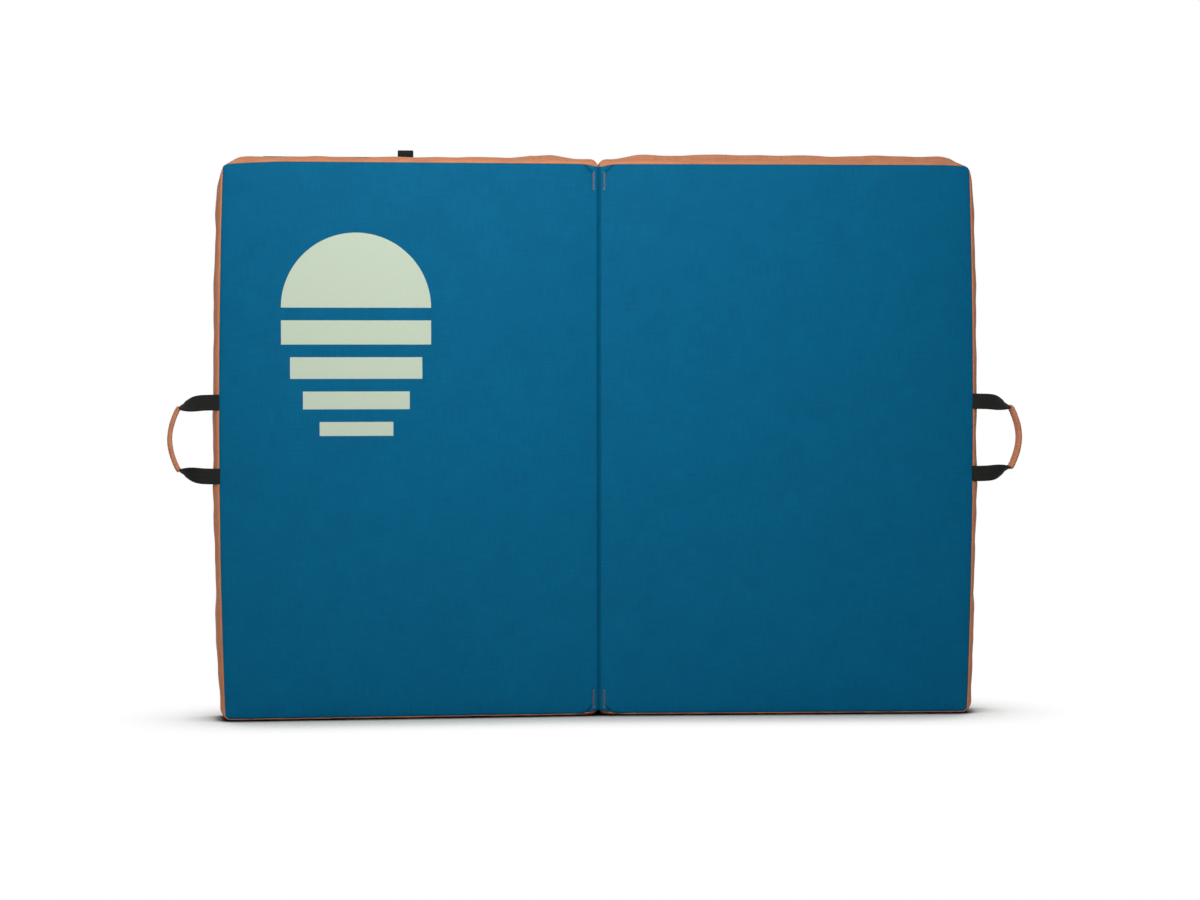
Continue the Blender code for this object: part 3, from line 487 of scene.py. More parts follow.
left, right = grids["left"], grids["right"]
points = np.concatenate([placed("left", *[g[:, :0:-1] for g in (left[0], left[2], left[1])]),
                         placed("right", right[0], right[2], right[1])], axis=1)
spread = np.concatenate([-left[0][:, :0:-1], right[0]], axis=1)
upward = np.concatenate([left[1][:, :0:-1], right[1]], axis=1)
normals = grid_normals(points, False)

blue_nylon, colour = woven("blue_coated_nylon", BLUE, BLUE_SHADE, 0.0, 0.62, gloss=0.06)
tree = blue_nylon.node_tree
cloth = add(tree, "ShaderNodeUVMap", uv_map="cloth").outputs[0]
offset = add(tree, "ShaderNodeVectorMath", {0: cloth, 1: (*PRINT_MIDDLE, 0)}, operation="SUBTRACT")
x, y, _ = add(tree, "ShaderNodeSeparateXYZ", {0: offset.outputs[0]}).outputs


def both(a, b):
    return calc(tree, "MULTIPLY", a, b)


def over(value, limit):
    return calc(tree, "GREATER_THAN", value, limit)


def under(value, limit):
    return calc(tree, "LESS_THAN", value, limit)


lifted = calc(tree, "SUBTRACT", y, SUN_BASE)
distance = calc(tree, "SQRT", calc(tree, "ADD", both(x, x), both(lifted, lifted)))
mask = both(under(distance, SUN_RADIUS), over(lifted, 0.0))
for low, high, half in BARS:
    bar = both(both(over(y, low), under(y, high)), under(calc(tree, "ABSOLUTE", x), half))
    mask = calc(tree, "MAXIMUM", mask, bar)
ink = blended(tree, speckle(tree, cloth, 300), srgb(PRINT_SHADE), srgb(PRINT))
# Painted shade: along the fold at the hinge the cloth's colour is darkened, where the crease is shaded.
across, hinge_up, _ = add(tree, "ShaderNodeSeparateXYZ", {0: cloth}).outputs
hinge_line = calc(tree, "ABSOLUTE", across)
painted_hinge_shade = spread_over(tree, hinge_line, 0.0008, 0.0040, 0.70, interpolation_type="SMOOTHSTEP")
# Painted shade darkens the creases that run from the tacks to the edge seams too.
middle, half = (TACKS[0][0] + TACKS[1][0]) / 2, (TACKS[0][0] - TACKS[1][0]) / 2
above = calc(tree, "SUBTRACT", calc(tree, "ABSOLUTE", calc(tree, "SUBTRACT", hinge_up, middle)), half)
run = calc(tree, "MAXIMUM", calc(tree, "SUBTRACT", above, CREASE_START), 0.0)
miss = calc(tree, "MULTIPLY_ADD", run, -CREASE_SLOPE, hinge_line)
miss = calc(tree, "ABSOLUTE", calc(tree, "SUBTRACT", miss, TACK_SPREAD))
near = spread_over(tree, miss, 0.0, 0.0040, 1.0, 0.0, interpolation_type="SMOOTHSTEP")
painted_crease_shade = calc(tree, "MULTIPLY_ADD", both(near, spread_over(tree, above, 0.006, 0.016)), -0.42, 1.0)
# The cloth and print colour are multiplied by the painted shade of the hinge fold and the tack creases.
face = blended(tree, 1.0, blended(tree, mask, colour, ink), both(painted_hinge_shade, painted_crease_shade),
               blend_type="MULTIPLY")
finish(tree, {"Base Color": face})

cover = shell_mesh("landing_cover", points, points - normals * CLOTH, False,
                   columns(spread, upward), blue_nylon)
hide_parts("left_landing_cover", "right_landing_cover", "left_hinge_leaf",
            "right_hinge_leaf")
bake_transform(cover)

# Boxing. A band of dusty orange nylon wraps the edge of each panel. The foam swells it out
# between its two seams, the cut is a little long for the edge, and so it ripples.
ORANGE, ORANGE_SHADE = "D08963", "B87453"
RIPPLE_DEEP, RIPPLE_SEAM = 0.0022, 0.0011
HINGE_ROOM = 0.0006
FOOT_KEPT = {"left": 0.5, "right": 1.0}
ROLLS = {"left": (0.030, 0.150, 0.0050), "right": (0.020, 0.590, 0.0066)}
orange_nylon = woven("orange_coated_nylon", ORANGE, ORANGE_SHADE, 0.05, 0.64)[0]


def boxing_share(depth):
    """Share of the seam's inset that is left at a depth: a quarter round from each seam."""
    near = clamped(np.minimum(depth, THICKNESS - depth) / ROUNDING)
    return 1 - np.sqrt(1 - (1 - near) ** 2)


def boxing_depths():
    turn = ROUNDING * (1 - np.cos(np.linspace(0, math.pi / 2, 9)))
    flat = np.linspace(ROUNDING, THICKNESS - ROUNDING, 15)[1:-1]
    return np.concatenate([turn, flat, THICKNESS - turn[::-1]])


for side in SIDES:
    depths = boxing_depths()
    rings, runs = [], []
    for depth in depths:
        ring = outline(float(boxing_share(depth)))
        tucked = 0.0030 * clamped(1 - ring[:, 0] / 0.034) * math.exp(-depth / 0.006)
        ring[:, 1] += edge_drop(side, ring[:, 0], ring[:, 1]) * boxing_share(depth)
        ring[:, 0] = np.maximum(ring[:, 0], HINGE_ROOM)
        rings.append(placed(side, ring[:, 0], depth + tucked, ring[:, 1]))
        runs.append(ring)
    points = np.array(rings)
    plan = np.array(runs)
    wanted = plan[len(depths) // 2]
    steps = np.linalg.norm(np.roll(wanted, -1, axis=0) - wanted, axis=1)
    around = np.concatenate([[0], np.cumsum(steps)[:-1]])
    away = grid_normals(points, True)
    centre = points.mean(axis=(0, 1))
    if ((points - centre) * away).sum() < 0:
        away = -away
    depths = depths[:, None]
    inner_depth = np.minimum(depths, THICKNESS - depths)
    field = columns(around, depths)
    swell = clamped(inner_depth / 0.012)
    gathered = np.exp(-inner_depth / 0.014) * clamped(inner_depth / 0.002)
    lift = 0.0
    for height, stretch, length, seed, where in (
            (RIPPLE_DEEP, 0.8, 0.085, 1.7, swell), (RIPPLE_DEEP * 0.8, 0.2, 0.036, 4.2, swell),
            (RIPPLE_SEAM, 0.2, 0.016, 9.1, gathered)):
        lift = lift + height * ripple(field * (1, stretch), length, seed) * where
    u, z = plan[..., 0], plan[..., 1]
    top = clamped((z - (HEIGHT - 0.03)) / 0.02)
    at_hinge = clamped(1 - u / 0.02)
    roll = bell(depths - 0.028, 0.010) - 0.32 * bell(depths - 0.013, 0.004)
    low_u, high_u, rise = ROLLS[side]
    ends = clamped(np.minimum(u - low_u, high_u - u) / 0.04)
    # Towards the outer corners the cloth is drawn in to the seam, less so at the foot.
    outer = clamped((u - (WIDTH - 0.03)) / 0.02)
    kept = FOOT_KEPT[side] * (z < HEIGHT / 2)
    corner = bell(np.minimum(z, HEIGHT - z), 0.055)
    lift = lift - 0.0050 * outer * (1 - kept) * corner * swell
    zipped = np.exp(-((depths - 0.057) / 0.012) ** 6) * top
    lift = lift * (1 - zipped) - 0.0004 * zipped + rise * top * roll * ends
    points = points + away * (lift * (1 - at_hinge))[..., None]
    points[..., 2] = np.maximum(points[..., 2], 0.0004)
    made = shell_mesh(f"{side}_boxing_cloth", points, points - away * CLOTH, True,
                      field, orange_nylon, f"{side}_panel")
    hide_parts(f"{side}_boxing")

# Base cover. The carry side is heavy dark nylon that takes the abrasion. It is one flat piece per
# panel, sewn to the boxing all round, and it lies tight on the firm base foam.
BASE, BASE_SHADE = "33363A", "1F2124"
base_nylon = woven("heavy_base_nylon", BASE, BASE_SHADE, 0.05, 0.60, 0.0019, 0.0003)[0]

for side in SIDES:
    a = 2 * eased(90, GRID_CROWDING)[None, :] - 1
    b = 2 * eased(120, GRID_CROWDING)[:, None] - 1
    u, z = rounded_plan(a, b, HINGE_INSET, WIDTH - SEAM_INSET, BOTTOM_INSET, HEIGHT - SEAM_INSET,
                        SEAM_RADIUS)
    edge = np.minimum((1 - np.abs(b)) * HEIGHT, (1 - np.abs(a)) * WIDTH) / 2
    depth = BACK - 0.0005 + 0.0007 * ripple(columns(u, z), 0.12, 5.3) - 0.0022 * bell(edge, 0.0025)
    depth = np.minimum(depth, BACK)
    u = u + bow(z) * (u / WIDTH)
    points = placed(side, u, depth, z)
    inner = placed(side, u, depth - CLOTH, z)
    made = shell_mesh(f"{side}_base_cloth", points, inner, False, columns(u, z),
                      base_nylon, f"{side}_panel")
    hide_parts(f"{side}_base_cover")

# Foam. Each panel is a sandwich cut from sheet foam: a firm closed-cell layer that spreads the
# load, a thick soft core and a thin firm base. The layers are glued and fill the cover.
FOAM_GAP, FOAM_RADIUS = 0.0013, 0.038
CORE_GAP, CORE_RADIUS = 0.0050, 0.065
FOAMS = (("landing_foam", 0.0, 0.0250, 1.0, "closed_cell_foam"),
         ("core_foam", 0.0253, 0.0767, 0.0, "open_cell_foam"),
         ("base_foam", 0.0770, 0.0890, 1.0, "closed_cell_foam"))


def foam_finish(name, light, dark, cell, rough):
    """Cut foam: cells of the given size in metres, with painted shade darkening their pits."""
    material, tree = new_material(name)
    place = add(tree, "ShaderNodeTexCoord").outputs["Object"]
    cells = add(tree, "ShaderNodeTexVoronoi", {"Vector": place, "Scale": 1 / cell})
    pits = spread_over(tree, cells.outputs["Distance"], 0.0, 0.7)
    finish(tree, {"Base Color": blended(tree, pits, srgb(light), srgb(dark)), "Roughness": rough,
                  "Normal": bumped(tree, pits, 0.7, cell / 3, invert=True), "IOR": 1.5})
    return material


foam_looks = {"closed_cell_foam": foam_finish("closed_cell_polyethylene", "4A4B4D", "2E2F31",
                                              0.0012, 0.75),
              "open_cell_foam": foam_finish("open_cell_polyurethane", "D6C896", "A08F5C",
                                            0.0016, 0.9)}
for side in SIDES:
    for name, low, high, share, slot in FOAMS:
        slack, radius = (FOAM_GAP, FOAM_RADIUS) if share else (CORE_GAP, CORE_RADIUS)
        u, z = rounded_plan(2 * eased(26, 0.5)[None, :] - 1, 2 * eased(38, 0.5)[:, None] - 1,
                            HINGE_INSET * share + slack, WIDTH - SEAM_INSET * share - slack,
                            BOTTOM_INSET * share + slack, HEIGHT - SEAM_INSET * share - slack,
                            radius)
        u = u + bow(z) * (u / WIDTH)
        face = low + (0.0014 - crown(u, z) * 0.95 if name == "landing_foam" else 0)
        made = shell_mesh(f"{side}_{name}_block", placed(side, u, face, z),
                          placed(side, u, high, z), False, columns(u, z),
                          foam_looks[slot], f"{side}_panel")
        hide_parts(f"{side}_{name}")

# Webbing. Every strap is 25 mm black nylon webbing, 1.8 mm thick: a flat plain weave of fat
# yarns with fine ribs across it and round woven edges, slightly glossy where the yarns turn.
WEB, WEB_THICK = 0.025, 0.0018
RIB, YARN = 0.0016, 0.0024
webbing, tree = new_material("black_nylon_webbing")
cloth = add(tree, "ShaderNodeUVMap", uv_map="cloth").outputs[0]
wide, along, _ = add(tree, "ShaderNodeSeparateXYZ", {0: cloth}).outputs
lead = calc(tree, "ADD", along, calc(tree, "PINGPONG", wide, 2.4 * RIB))
chevron = add(tree, "ShaderNodeCombineXYZ", {0: lead}).outputs[0]
ribs, yarns = [add(tree, "ShaderNodeTexWave", {"Vector": place, "Scale": math.pi / (10 * pitch)},
                   bands_direction="X").outputs["Fac"]
               for place, pitch in ((chevron, RIB), (cloth, YARN))]
relief = calc(tree, "MULTIPLY_ADD", yarns, 0.5, ribs)
tone = calc(tree, "MULTIPLY_ADD", speckle(tree, cloth, 900), 0.5, relief)
colour = blended(tree, spread_over(tree, tone, 0.0, 1.8), srgb("0E0E0E"), srgb("1E1E1D"))
finish(tree, {"Base Color": colour, "Normal": bumped(tree, relief, 0.8, 0.0003),
              "Roughness": 0.70, "IOR": 1.53, "Specular IOR Level": 0.15})


def smooth(points, steps):
    """Catmull-Rom curve through rows of numbers."""
    rows = np.asarray(points, float)
    ends = np.concatenate([rows[:1], rows, rows[-1:]])
    t = (np.arange(steps) / steps)[:, None]
    curve = [0.5 * (2 * q + (r - p) * t + (2 * p - 5 * q + 4 * r - s) * t ** 2
                    + (3 * q - p - 3 * r + s) * t ** 3)
             for p, q, r, s in zip(ends, ends[1:], ends[2:], ends[3:])]
    return np.concatenate(curve + [rows[-1:]])


def evenly(points, spacing):
    """The same line with its points a fixed distance apart, at its ends exactly."""
    points = np.asarray(points, float)
    run = np.concatenate([[0], np.cumsum(np.linalg.norm(np.diff(points, axis=0), axis=1))])
    count = max(int(round(run[-1] / spacing)), 2) + 1
    return np.stack([np.interp(np.linspace(0, run[-1], count), run, points[:, k])
                     for k in range(points.shape[1])], axis=-1)


def rounded_profile(width, thickness, fullness=0.28, sides=20):
    angles = 2 * np.pi * (np.arange(sides) + 0.5) / sides
    c, s = np.cos(angles), np.sin(angles)
    return columns(np.sign(c) * np.abs(c) ** fullness * width / 2,
                   np.sign(s) * np.abs(s) ** fullness * thickness / 2)


def sweep(name, points, across, profile, material, body=None, joined=False):
    """A closed body swept along points. profile is one (across, through) ring or one per point."""
    points = np.asarray(points, float)
    across = np.broadcast_to(np.asarray(across, float), points.shape)
    profiles = np.broadcast_to(profile, (len(points), *np.shape(profile)[-2:]))
    along = np.roll(points, -1, 0) - np.roll(points, 1, 0) if joined else np.gradient(points, axis=0)
    along = unit(along)
    wide = unit(across - along * (across * along).sum(1, keepdims=True))
    through = np.cross(along, wide)
    rings = (points[:, None] + wide[:, None] * profiles[..., :1] + through[:, None] * profiles[..., 1:])
    rows, sides = rings.shape[:2]
    index = np.arange(rows * sides).reshape(rows, sides)
    after = np.roll(index, -1, axis=0) if joined else index[1:]
    here = index if joined else index[:-1]
    quads = np.stack([here, np.roll(here, -1, 1), np.roll(after, -1, 1), after], axis=-1)
    faces = quads.reshape(-1, 4).tolist()
    if not joined:
        faces += [index[0, ::-1].tolist(), index[-1].tolist()]
    run = np.concatenate([[0], np.cumsum(np.linalg.norm(np.diff(points, axis=0), axis=1))])
    uv = columns(profiles[..., 0], run[:, None])
    mesh = bpy.data.meshes.new(name)
    mesh.from_pydata(rings.reshape(-1, 3).tolist(), [], faces)
    layer = mesh.uv_layers.new(name="cloth")
    order = [k for face in faces for k in face]
    layer.data.foreach_set("uv", uv.reshape(-1, 2)[order].reshape(-1).astype(np.float32))
    mesh.materials.append(material)
    mesh.shade_smooth()
    mesh.set_sharp_from_angle(angle=math.radians(50))
    return closed_piece(name, mesh, body)


def strap(name, points, across, body, nodes=(), width=WEB, thickness=WEB_THICK, spacing=0.0025):
    """A length of webbing on a body, standing for its CAD nodes."""
    points = np.asarray(points, float)
    across = np.broadcast_to(np.asarray(across, float), points.shape)
    path = evenly(np.concatenate([points, across], axis=1), spacing)
    profile = rounded_profile(width, thickness)
    made = sweep(name, path[:, :3], path[:, 3:], profile, webbing, body)
    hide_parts(*nodes)
    return made


# Side handles. A length of webbing is sewn into the outer seam at both ends and turns on edge
# into a soft orange sleeve, so that the hand meets a rounded grip.
SPREAD, REACH, BACKSET = 0.116, 0.067, 0.015
HANDLE_SHAPE = ((0.0, 1.0, 0.0, 0.0), (0.25, 0.99, 0.2, 0.04), (0.45, 0.955, 0.5, 0.28),
                (0.66, 0.895, 0.85, 0.68), (0.80, 0.82, 1.0, 1.0), (0.93, 0.47, 1.0, 1.0),
                (0.985, 0.20, 1.0, 1.0), (1.0, 0.0, 1.0, 1.0))
SLEEVE_WIDE, SLEEVE_THICK = 0.030, 0.0080
for side in SIDES:
    middle = HEIGHT / 2
    root_u = WIDTH + float(bow(middle + SPREAD / 2)) + 0.0012
    root_depth = -(0.0003 + WEB_THICK / 2)
    halves, wides = [], []
    for way in (1, -1):
        table = smooth(HANDLE_SHAPE, 6)
        line = placed(side, root_u + REACH * table[:, 0], root_depth + BACKSET * table[:, 2],
                      middle + way * SPREAD / 2 * table[:, 1])
        along = unit(np.gradient(line, axis=0))
        back = INTO[side]
        level = unit(np.cross(along, back) * SIDES[side] * way)
        upright = unit(back - along * (along @ back)[:, None])
        angle = np.radians(90 * clamped(table[:, 3]))[:, None]
        halves.append(line)
        wides.append(level * np.cos(angle) + upright * np.sin(angle))
    points = np.concatenate([halves[0], halves[1][-2::-1]])
    across = np.concatenate([wides[0], wides[1][-2::-1]])
    for k in range(1, len(across)):
        if across[k] @ across[k - 1] < 0:
            across[k] = -across[k]
    start = [placed(side, WIDTH - SEAM_INSET + float(bow(middle)) - 0.002, root_depth + 0.0022,
                    middle + way * SPREAD / 2) for way in (1, -1)]
    grip = slice(23, len(points) - 23)
    points = np.concatenate([start[:1], points, start[1:]])
    across = np.concatenate([across[:1], across, across[-1:]])
    legs = strap(f"{side}_handle_strap", points, across, None,
                 [f"{side}_handle_webbing", f"{side}_handle_upper_end", f"{side}_handle_lower_end"])
    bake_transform(legs)

    path = evenly(np.concatenate([points, across], axis=1)[grip.start + 1:grip.stop + 1], 0.002)
    run = np.linspace(-1, 1, len(path))
    rings = []
    for k, share in enumerate(run):
        wave = 1 + 0.06 * noise.noise(Vector((k * 0.17, 3.3 * SIDES[side], 0)))
        pinch = 1 - 0.25 * max(abs(share) - 0.93, 0) / 0.07
        rings.append(rounded_profile(SLEEVE_WIDE * wave, SLEEVE_THICK * wave * pinch, 0.62, 24))
    sleeve = sweep(f"{side}_handle_grip", path[:, :3], path[:, 3:], np.array(rings), orange_nylon,
                   f"{side}_handle")
    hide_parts(f"{side}_handle_sleeve")

# Loop tabs. A short folded length of webbing is sewn into the back seam at the top and bottom of
# the left panel, and the closure hooks catch it when the pad is folded for carrying.
TAB_LENGTH, TAB_EYE, LAYER_GAP = 0.024, 0.0025, 0.0004
for name, depth, z, way in (("top_loop_tab", BACK + (2 * WEB_THICK + LAYER_GAP) / 2 + 0.0003,
                             HEIGHT - SEAM_INSET, (0, 1)),
                            ("bottom_loop_tab", BACK + 0.0003, BOTTOM_INSET, (1, 0))):
    layer = (WEB_THICK + LAYER_GAP) / 2
    eye_run = TAB_LENGTH - 2 * TAB_EYE
    profile = smooth([(-layer, 0), (-layer, eye_run / 2), (-TAB_EYE, eye_run), (0, TAB_LENGTH),
                      (TAB_EYE, eye_run), (layer, eye_run / 2), (layer, 0)], 6)
    points = placed("left", WIDTH / 2, depth + profile[:, 1] * way[0] + profile[:, 0] * way[1],
                    z + profile[:, 1] * way[1] - profile[:, 0] * way[0])
    strap(f"{name}_strap", points, ACROSS["left"], "left_panel", [name], spacing=0.0008)

# Carry side. What follows lies on the back of a panel, in rows of (u, depth, z).
AIR = 0.0003
SEWN = BACK + AIR + WEB_THICK / 2
PATCH = 0.0014
ON_PATCH = BACK + 2 * AIR + PATCH + WEB_THICK / 2
MIDDLE = WIDTH / 2


def laid(side, rows):
    rows = np.asarray(rows, float)
    return placed(side, rows[..., 0], rows[..., 1], rows[..., 2])


def along_axes(side, origin, axes, rows):
    """Places in the frame from rows of runs along up to three axes of a panel."""
    rows = np.array(rows, float)
    places = np.asarray(origin, float)
    for k in range(rows.shape[1]):
        places = places + rows[:, k:k + 1] * axes[k]
    return laid(side, places)


def arc(centre, radius, start, end, steps=10):
    """Rows along a part circle, in degrees, about a centre of two numbers."""
    angles = np.radians(np.linspace(start, end, steps + 1))
    return [(centre[0] + radius * math.cos(a), centre[1] + radius * math.sin(a)) for a in angles]


# Hardware. Buckle, ladder locks, strap keepers and zipper pulls are moulded black acetal, satin
# from a spark-eroded mould and smoother where hands rub it. Their CAD solids are kept, with every
# edge rounded as the mould leaves it.
acetal, tree = new_material("black_acetal")
place = add(tree, "ShaderNodeTexCoord").outputs["Object"]
spark, wear = speckle(tree, place, 1500, 3.0), speckle(tree, place, 90, 4.0)
finish(tree, {"Base Color": blended(tree, wear, srgb("151516"), srgb("232325")),
              "Roughness": spread_over(tree, wear, 0.0, 1.0, 0.30, 0.52),
              "Normal": bumped(tree, spark, 0.35, 0.00006), "IOR": 1.48})


def moulded(node, body, edge, segments=3, sharp=30):
    """The CAD solid of a moulded piece with its edges rounded."""
    source = bpy.data.objects[node]
    mesh = source.data.copy()
    mesh.transform(source.matrix_world)
    mesh.materials.clear()
    mesh.materials.append(acetal)
    work = bmesh.new()
    work.from_mesh(mesh)
    bmesh.ops.remove_doubles(work, verts=work.verts, dist=0.00002)
    bmesh.ops.dissolve_limit(work, angle_limit=math.radians(1), verts=work.verts, edges=work.edges)
    hard = [e for e in work.edges if e.is_manifold and e.calc_face_angle() > math.radians(sharp)]
    bmesh.ops.bevel(work, geom=hard, offset=edge, segments=segments, profile=0.5, affect="EDGES",
                    clamp_overlap=True)
    bmesh.ops.recalc_face_normals(work, faces=work.faces)
    work.to_mesh(mesh)
    work.free()
    mesh.shade_smooth()
    mesh.set_sharp_from_angle(angle=math.radians(35))
    made = linked(f"{node}_moulding", mesh)
    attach(made, body)
    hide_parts(node)
    return made


# Closures. A webbing strap hangs from the back seam of the right panel at the top, and another
# lies along its foot. Each wraps a hook bent from 4 mm plated wire, and a keeper holds its end.
LENGTH, FOLD_BACK = 0.200, 0.050
KEEPER, KEEPER_WIDE, KEEPER_TURN = 0.0015, 0.008, 0.0012
WIRE, RING_HALF, RING_DROP, HOOK_BEND = 0.0020, 0.0155, 0.012, 0.008
HOOK_STEM, TIP_RISE, RING_GAP = 0.020, 0.006, 0.0032
steel, tree = new_material("plated_wire")
drawn = speckle(tree, add(tree, "ShaderNodeTexCoord").outputs["Object"], 420, 5.0)
finish(tree, {"Base Color": blended(tree, drawn, srgb("A9ABAD"), srgb("CFD1D2")),
              "Roughness": spread_over(tree, drawn, 0.0, 1.0, 0.20, 0.42),
              "Normal": bumped(tree, drawn, 0.25, 0.00005), "Metallic": 1.0})

wire_ring = rounded_profile(2 * WIRE, 2 * WIRE, 1.0, 14)
foot_drop = -(BOTTOM_INSET - WEB_THICK / 2 - KEEPER - LAYER_GAP)
for name, root, along, out, lead in (
        ("top", (MIDDLE, SEWN + WIRE, HEIGHT - SEAM_INSET), (0, 0, -1), (0, 1, 0),
         [(0, 0), (WEB, 0)]),
        ("bottom", (MIDDLE, SEWN, BOTTOM_INSET), (0, 1, 0), (0, 0, 1),
         [(0, 0), (WEB / 4, 0), (3 * WEB / 4, foot_drop), (WEB, foot_drop)])):
    axes = np.array([along, out, (1, 0, 0)], float)
    level = lead[-1][1]
    doubled = WEB_THICK + LAYER_GAP
    merge = LENGTH - 3 * RING_GAP
    run = lead + [(merge, level)] + arc((LENGTH, level + RING_GAP), RING_GAP, -90, 90, 14)
    run += [(merge, level + doubled), (LENGTH - FOLD_BACK, level + doubled)]
    strap(f"{name}_closure_band", along_axes("right", root, axes, run), ACROSS["right"],
          f"{name}_closure", [f"{name}_closure_strap"], spacing=0.0016)

    half = WEB / 2 + AIR + KEEPER / 2 - KEEPER_TURN
    low = level - WEB_THICK / 2 - AIR - KEEPER / 2
    high = low + KEEPER + 2 * WEB_THICK + LAYER_GAP + 2 * AIR - KEEPER_TURN
    low += KEEPER_TURN
    ring = []
    for cx, cy, start in ((half, high, 0), (-half, high, 90), (-half, low, 180), (half, low, 270)):
        ring += arc((cx, cy), KEEPER_TURN, start, start + 90, 5)
    ring = [(LENGTH - FOLD_BACK / 2, b, a) for a, b in ring]
    # Ends of unit steps forward and outward give the strap's directions in the frame.
    origin, ahead, outer = along_axes("right", root, axes, [(0, 0), (1, 0), (0, 1)])
    keeper = sweep(f"{name}_keeper_ring", along_axes("right", root, axes, ring), ahead - origin,
                   rounded_profile(KEEPER_WIDE, KEEPER, 0.3, 16), acetal, f"{name}_closure",
                   joined=True)
    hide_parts(f"{name}_closure_keeper")

    bend = 2 * WIRE
    base = RING_DROP + HOOK_STEM
    path = [(-bend, RING_DROP)]
    for cx, cy, start, end in ((-RING_HALF + bend, RING_DROP - bend, 90, 180),
                               (-RING_HALF + bend, bend, 180, 270),
                               (RING_HALF - bend, bend, -90, 0),
                               (RING_HALF - bend, RING_DROP - bend, 0, 90),
                               (WIRE + bend, RING_DROP + bend, -90, -180)):
        path += arc((cx, cy), bend, start, end, 6)
    path += arc((WIRE - HOOK_BEND, base), HOOK_BEND, 0, 180, 20)
    path.append((WIRE - 2 * HOOK_BEND, base - TIP_RISE))
    path = evenly(path, 0.0012)
    shares = np.ones(len(path))
    shares[[0, -1]], shares[[1, -2]] = 0.45, 0.88
    wire = [(LENGTH + forward, level + RING_GAP, sideways) for sideways, forward in path]
    hook = sweep(f"{name}_wire_hook", along_axes("right", root, axes, wire), outer - origin,
                 shares[:, None, None] * wire_ring, steel, f"{name}_hook")
    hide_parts(f"{name}_closure_hook")

# Zippers. A black coil zipper lies in the top wall of each panel, towards its back, so that the
# foam can be taken out. The coil is nylon, and the tape a fine twill.
ZIP_DEPTH, ZIP_TOP = THICKNESS - 0.032, HEIGHT + AIR
ZIP_ENDS = (0.070, WIDTH - 0.070)
TAPE_HALF, TAPE, CHAIN_HALF, CHAIN = 0.011, 0.0008, 0.0030, 0.0016
for side in SIDES:
    run = np.linspace(*ZIP_ENDS, 160)
    top = ZIP_TOP + TAPE / 2 + 0.0001 * np.sin(run * 90)
    line = placed(side, run, ZIP_DEPTH, top)
    tape = sweep(f"{side}_zipper_tape", line, INTO[side],
                 rounded_profile(2 * TAPE_HALF, TAPE, 0.2, 24), webbing, f"{side}_panel")
    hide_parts(f"{side}_zipper")
    coil = []
    pitch = 0.0017
    count = int((ZIP_ENDS[1] - ZIP_ENDS[0] - 0.004) / pitch)
    for k in range(count * 8 + 1):
        turn = 2 * math.pi * k / 8
        coil.append((ZIP_ENDS[0] + 0.002 + pitch * k / 8,
                     ZIP_DEPTH + (CHAIN_HALF - 0.0004) * math.sin(turn),
                     ZIP_TOP + TAPE + CHAIN / 2 + (CHAIN / 2 - 0.0004) * math.cos(turn)))
    chain = sweep(f"{side}_zipper_coil", laid(side, coil), ACROSS[side],
                  rounded_profile(0.0009, 0.0009, 1.0, 6), acetal, f"{side}_panel")
    moulded(f"{side}_zipper_slider", f"{side}_slider", 0.0005, 3)
    moulded(f"{side}_zipper_pull", f"{side}_pull", 0.0006, 3)

# Patches. Two reinforcing patches of the base nylon are sewn on the back of the left panel, with
# their corners cut off and their edges turned under.
PATCH_CUT = 0.018
SHOULDER_U, HIP_U = 0.100, 0.170
PATCHES = (("shoulder_yoke", 0.340, HEIGHT - 0.135, HEIGHT - 0.055),
           ("waist_patch", 0.420, 0.175, 0.330))
for name, wide, low, high in PATCHES:
    a = 2 * eased(96, 0.6)[None, :] - 1
    b = 2 * eased(48, 0.6)[:, None] - 1
    z = (low + high) / 2 + b * (high - low) / 2
    end_gap = (high - low) / 2 * (1 - np.abs(b))
    half = wide / 2 - np.clip(PATCH_CUT - end_gap, 0, None)
    u = MIDDLE + a * half
    rim = np.minimum(end_gap, (1 - np.abs(a)) * half)
    depth = BACK + AIR + PATCH + 0.0004 * bell(rim - 0.0035, 0.003)
    depth = depth + 0.0003 * ripple(columns(u, z), 0.05, 2.4) - 0.0005 * bell(rim - 0.008, 0.001)
    made = shell_mesh(f"{name}_cloth", placed("left", u, depth, z),
                      placed("left", u, BACK + AIR, z), False, columns(u, z),
                      base_nylon, "left_panel")
    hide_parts(name)

# Haul loop. A short length of webbing is sewn across the yoke at both ends and stands off between
# them, for pulling the pad about.
shares = smooth([(-1.0, 0.0), (-0.76, 0.0), (-0.6, 0.2), (-0.4, 0.75), (0.0, 1.0), (0.4, 0.75),
                 (0.6, 0.2), (0.76, 0.0), (1.0, 0.0)], 10)
haul_z = HEIGHT - 0.085
line = placed("left", MIDDLE + 0.072 * shares[:, 0], ON_PATCH + 0.034 * np.clip(shares[:, 1], 0, None),
              haul_z)
strap("haul_loop_band", line, (0, 0, 1), "left_panel", ["haul_loop"])

# Shoulder straps. Each hangs between two sewn tabs: a padded band shaped to the shoulder, a loop
# that holds a ladder lock, and the webbing that runs through the lock and leaves a free tail.
STANDOFF, KNEE = 0.017, 0.25
STRAP_TOP, STRAP_LOW = HEIGHT - 0.155, 0.250
PAD_LENGTH, PAD_BULGE, PAD_WIDE, PAD_THICK = 0.300, 0.055, 0.060, 0.012
PAD_TABLE = ((0.0, 0.0, 0.55, 0.3), (0.03, 0.0, 0.6, 0.45), (0.12, 0.22, 0.8, 0.8),
             (0.3, 0.64, 0.96, 1.0), (0.5, 0.92, 1.0, 1.0), (0.7, 1.0, 1.0, 1.0),
             (0.88, 0.97, 0.85, 0.8), (1.0, 0.88, 0.5, 0.3))
BAR, SLOT, PLATE, LOOP, TAIL = 0.0040, 0.0080, 0.0030, 0.024, 0.090
binding = woven("pad_cloth", "2B2D30", "1A1B1D", 0.06, 0.62, 0.0015)[0]
